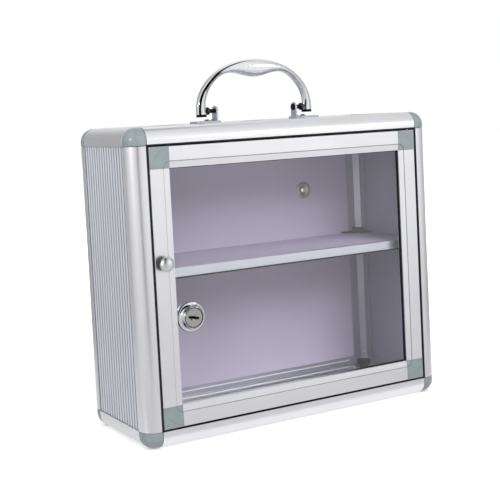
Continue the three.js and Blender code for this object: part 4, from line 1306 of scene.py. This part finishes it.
def metalLight(tree, way):
    # how bright the studio is for metal in each direction
    parts = addNode(tree, "ShaderNodeSeparateXYZ", {"Vector": way}).outputs
    angle = addNode(tree, "ShaderNodeMath", (parts["Y"], parts["X"]), operation="ARCTAN2")
    turn = addNode(tree, "ShaderNodeMapRange", (angle, -math.pi, math.pi, 0.0, 1.0))
    ramp = addNode(tree, "ShaderNodeValToRGB", {"Fac": turn})
    stops = ramp.color_ramp.elements
    for i, (degrees, grey) in enumerate(studio["round"]):
        share = (degrees + 180) / 360
        stop = stops[i] if i < 2 else stops.new(share)
        stop.position = share
        stop.color = (grey, grey, grey, 1)
    spread = addNode(tree, "ShaderNodeMapRange", (parts["Z"], *studio["gapSpread"]), **smooth)
    away, toSide = (
        addNode(tree, "ShaderNodeVectorMath", (way, studio[name]), operation="DOT_PRODUCT")
        for name in ("gapNormal", "gapSide"))
    away = addNode(tree, "ShaderNodeMath", (away,), operation="ABSOLUTE")
    away = addNode(tree, "ShaderNodeMath", (away, spread), operation="DIVIDE")
    factors = [
        addNode(tree, "ShaderNodeMapRange", (value, *studio[name]), **smooth)
        for value, name in (
            (away, "gapEdge"), (toSide, "gapSideEdge"), (parts["Z"], "sheetRise"),
            (parts["Y"], "sheetDepth"))
    ]
    inGap = addNode(tree, "ShaderNodeMath", factors[:2], **product)
    sheet = addNode(tree, "ShaderNodeMath", factors[2:], **product)
    outsideGap = addNode(tree, "ShaderNodeMath", (1.0, inGap), operation="SUBTRACT")
    brighter = addNode(tree, "ShaderNodeMath", (1.0, sheet), operation="ADD")
    level = addNode(tree, "ShaderNodeMath", (ramp, outsideGap), **product)
    return addNode(tree, "ShaderNodeMath", (level, brighter), **product)


def seenRays(tree):
    # 1 for what the camera sees directly, in gloss or through the pane, and 1 for gloss alone
    path = addNode(tree, "ShaderNodeLightPath").outputs
    seen = addNode(
        tree, "ShaderNodeMath", (path["Is Camera Ray"], path["Is Glossy Ray"]), operation="MAXIMUM")
    seen = addNode(
        tree, "ShaderNodeMath", (seen, path["Is Transmission Ray"]), operation="MAXIMUM")
    return seen, path["Is Glossy Ray"]


def floorForMetal(tree, place, distance):
    # the floor's level in metal, which is darker near the object and takes up the sky's pattern
    way = addNode(tree, "ShaderNodeVectorMath", (place,), operation="NORMALIZE")
    depth = addNode(tree, "ShaderNodeSeparateXYZ", {"Vector": place}).outputs["Y"]
    v = {
        name: addNode(tree, "ShaderNodeMapRange", (value, *studio[name]), **smooth)
        for value, names in (
            (distance, ("underEdge", "floorLevel", "patternEdge")),
            (depth, ("closeEdge", "nextStrip", "stripsEnd")))
        for name in names
    }
    level = addNode(
        tree, "ShaderNodeMix", (v["underEdge"], studio["underObject"], v["floorLevel"]))
    pattern = addNode(
        tree, "ShaderNodeMix", (v["patternEdge"], studio["plainLevel"], metalLight(tree, way)))
    strips = addNode(
        tree, "ShaderNodeMix", (v["closeEdge"], v["nextStrip"], studio["closeStrip"]))
    strips = addNode(tree, "ShaderNodeMix", (v["stripsEnd"], 1.0, strips))
    level = addNode(tree, "ShaderNodeMath", (level, pattern), **product)
    return addNode(tree, "ShaderNodeMath", (level, strips), **product)


def addFloor():
    size = studio["floorSize"]
    floor = linked("floor", meshFrom(
        block((-size, -size, -studio["floorDepth"]), (size, size, 0)), "floor"))
    material, tree = startMaterial("matt white studio floor")
    floor.data.materials.append(material)
    seen, glossy = seenRays(tree)
    place = addNode(tree, "ShaderNodeTexCoord").outputs["Object"]
    distance = addNode(tree, "ShaderNodeVectorMath", (place,), operation="LENGTH")
    # the glow grows with distance, so that the floor meets the white background without an edge
    glow = addNode(tree, "ShaderNodeMapRange", (distance, *studio["floorGlow"]), **smooth)
    level = addNode(tree, "ShaderNodeMix", (glossy, glow, floorForMetal(tree, place, distance)))
    strength = addNode(tree, "ShaderNodeMath", (level, seen), **product)
    glowing = addNode(tree, "ShaderNodeEmission", {"Color": (1, 1, 1, 1), "Strength": strength})
    # in metal the glow stands for the whole floor, so the matt part is nearly black there
    colours = [toLinear(studio[name]) for name in ("floorColour", "floorInGloss")]
    colour = addNode(tree, "ShaderNodeMix", (glossy, *colours), data_type="RGBA")
    matt = addNode(tree, "ShaderNodeBsdfDiffuse", {"Color": colour})
    both = addNode(tree, "ShaderNodeAddShader", (matt, glowing))
    addNode(tree, "ShaderNodeOutputMaterial", {"Surface": both})


def addWorld():
    # white where it is seen; metal also sees the grey gaps
    world = bpy.data.worlds.new("studio")
    bpy.context.scene.world = world
    world.use_nodes = True
    tree = world.node_tree
    tree.nodes.clear()
    seen, glossy = seenRays(tree)
    way = addNode(tree, "ShaderNodeTexCoord").outputs["Generated"]
    level = addNode(tree, "ShaderNodeMix", (glossy, 1.0, metalLight(tree, way)))
    strength = addNode(tree, "ShaderNodeMix", (seen, studio["ambient"], level))
    back = addNode(tree, "ShaderNodeBackground", {"Color": (1, 1, 1, 1), "Strength": strength})
    addNode(tree, "ShaderNodeOutputWorld", {"Surface": back})


addLamps()
addFloor()
addWorld()
bpy.context.scene.view_settings.view_transform = "Standard"
print("studio finished")
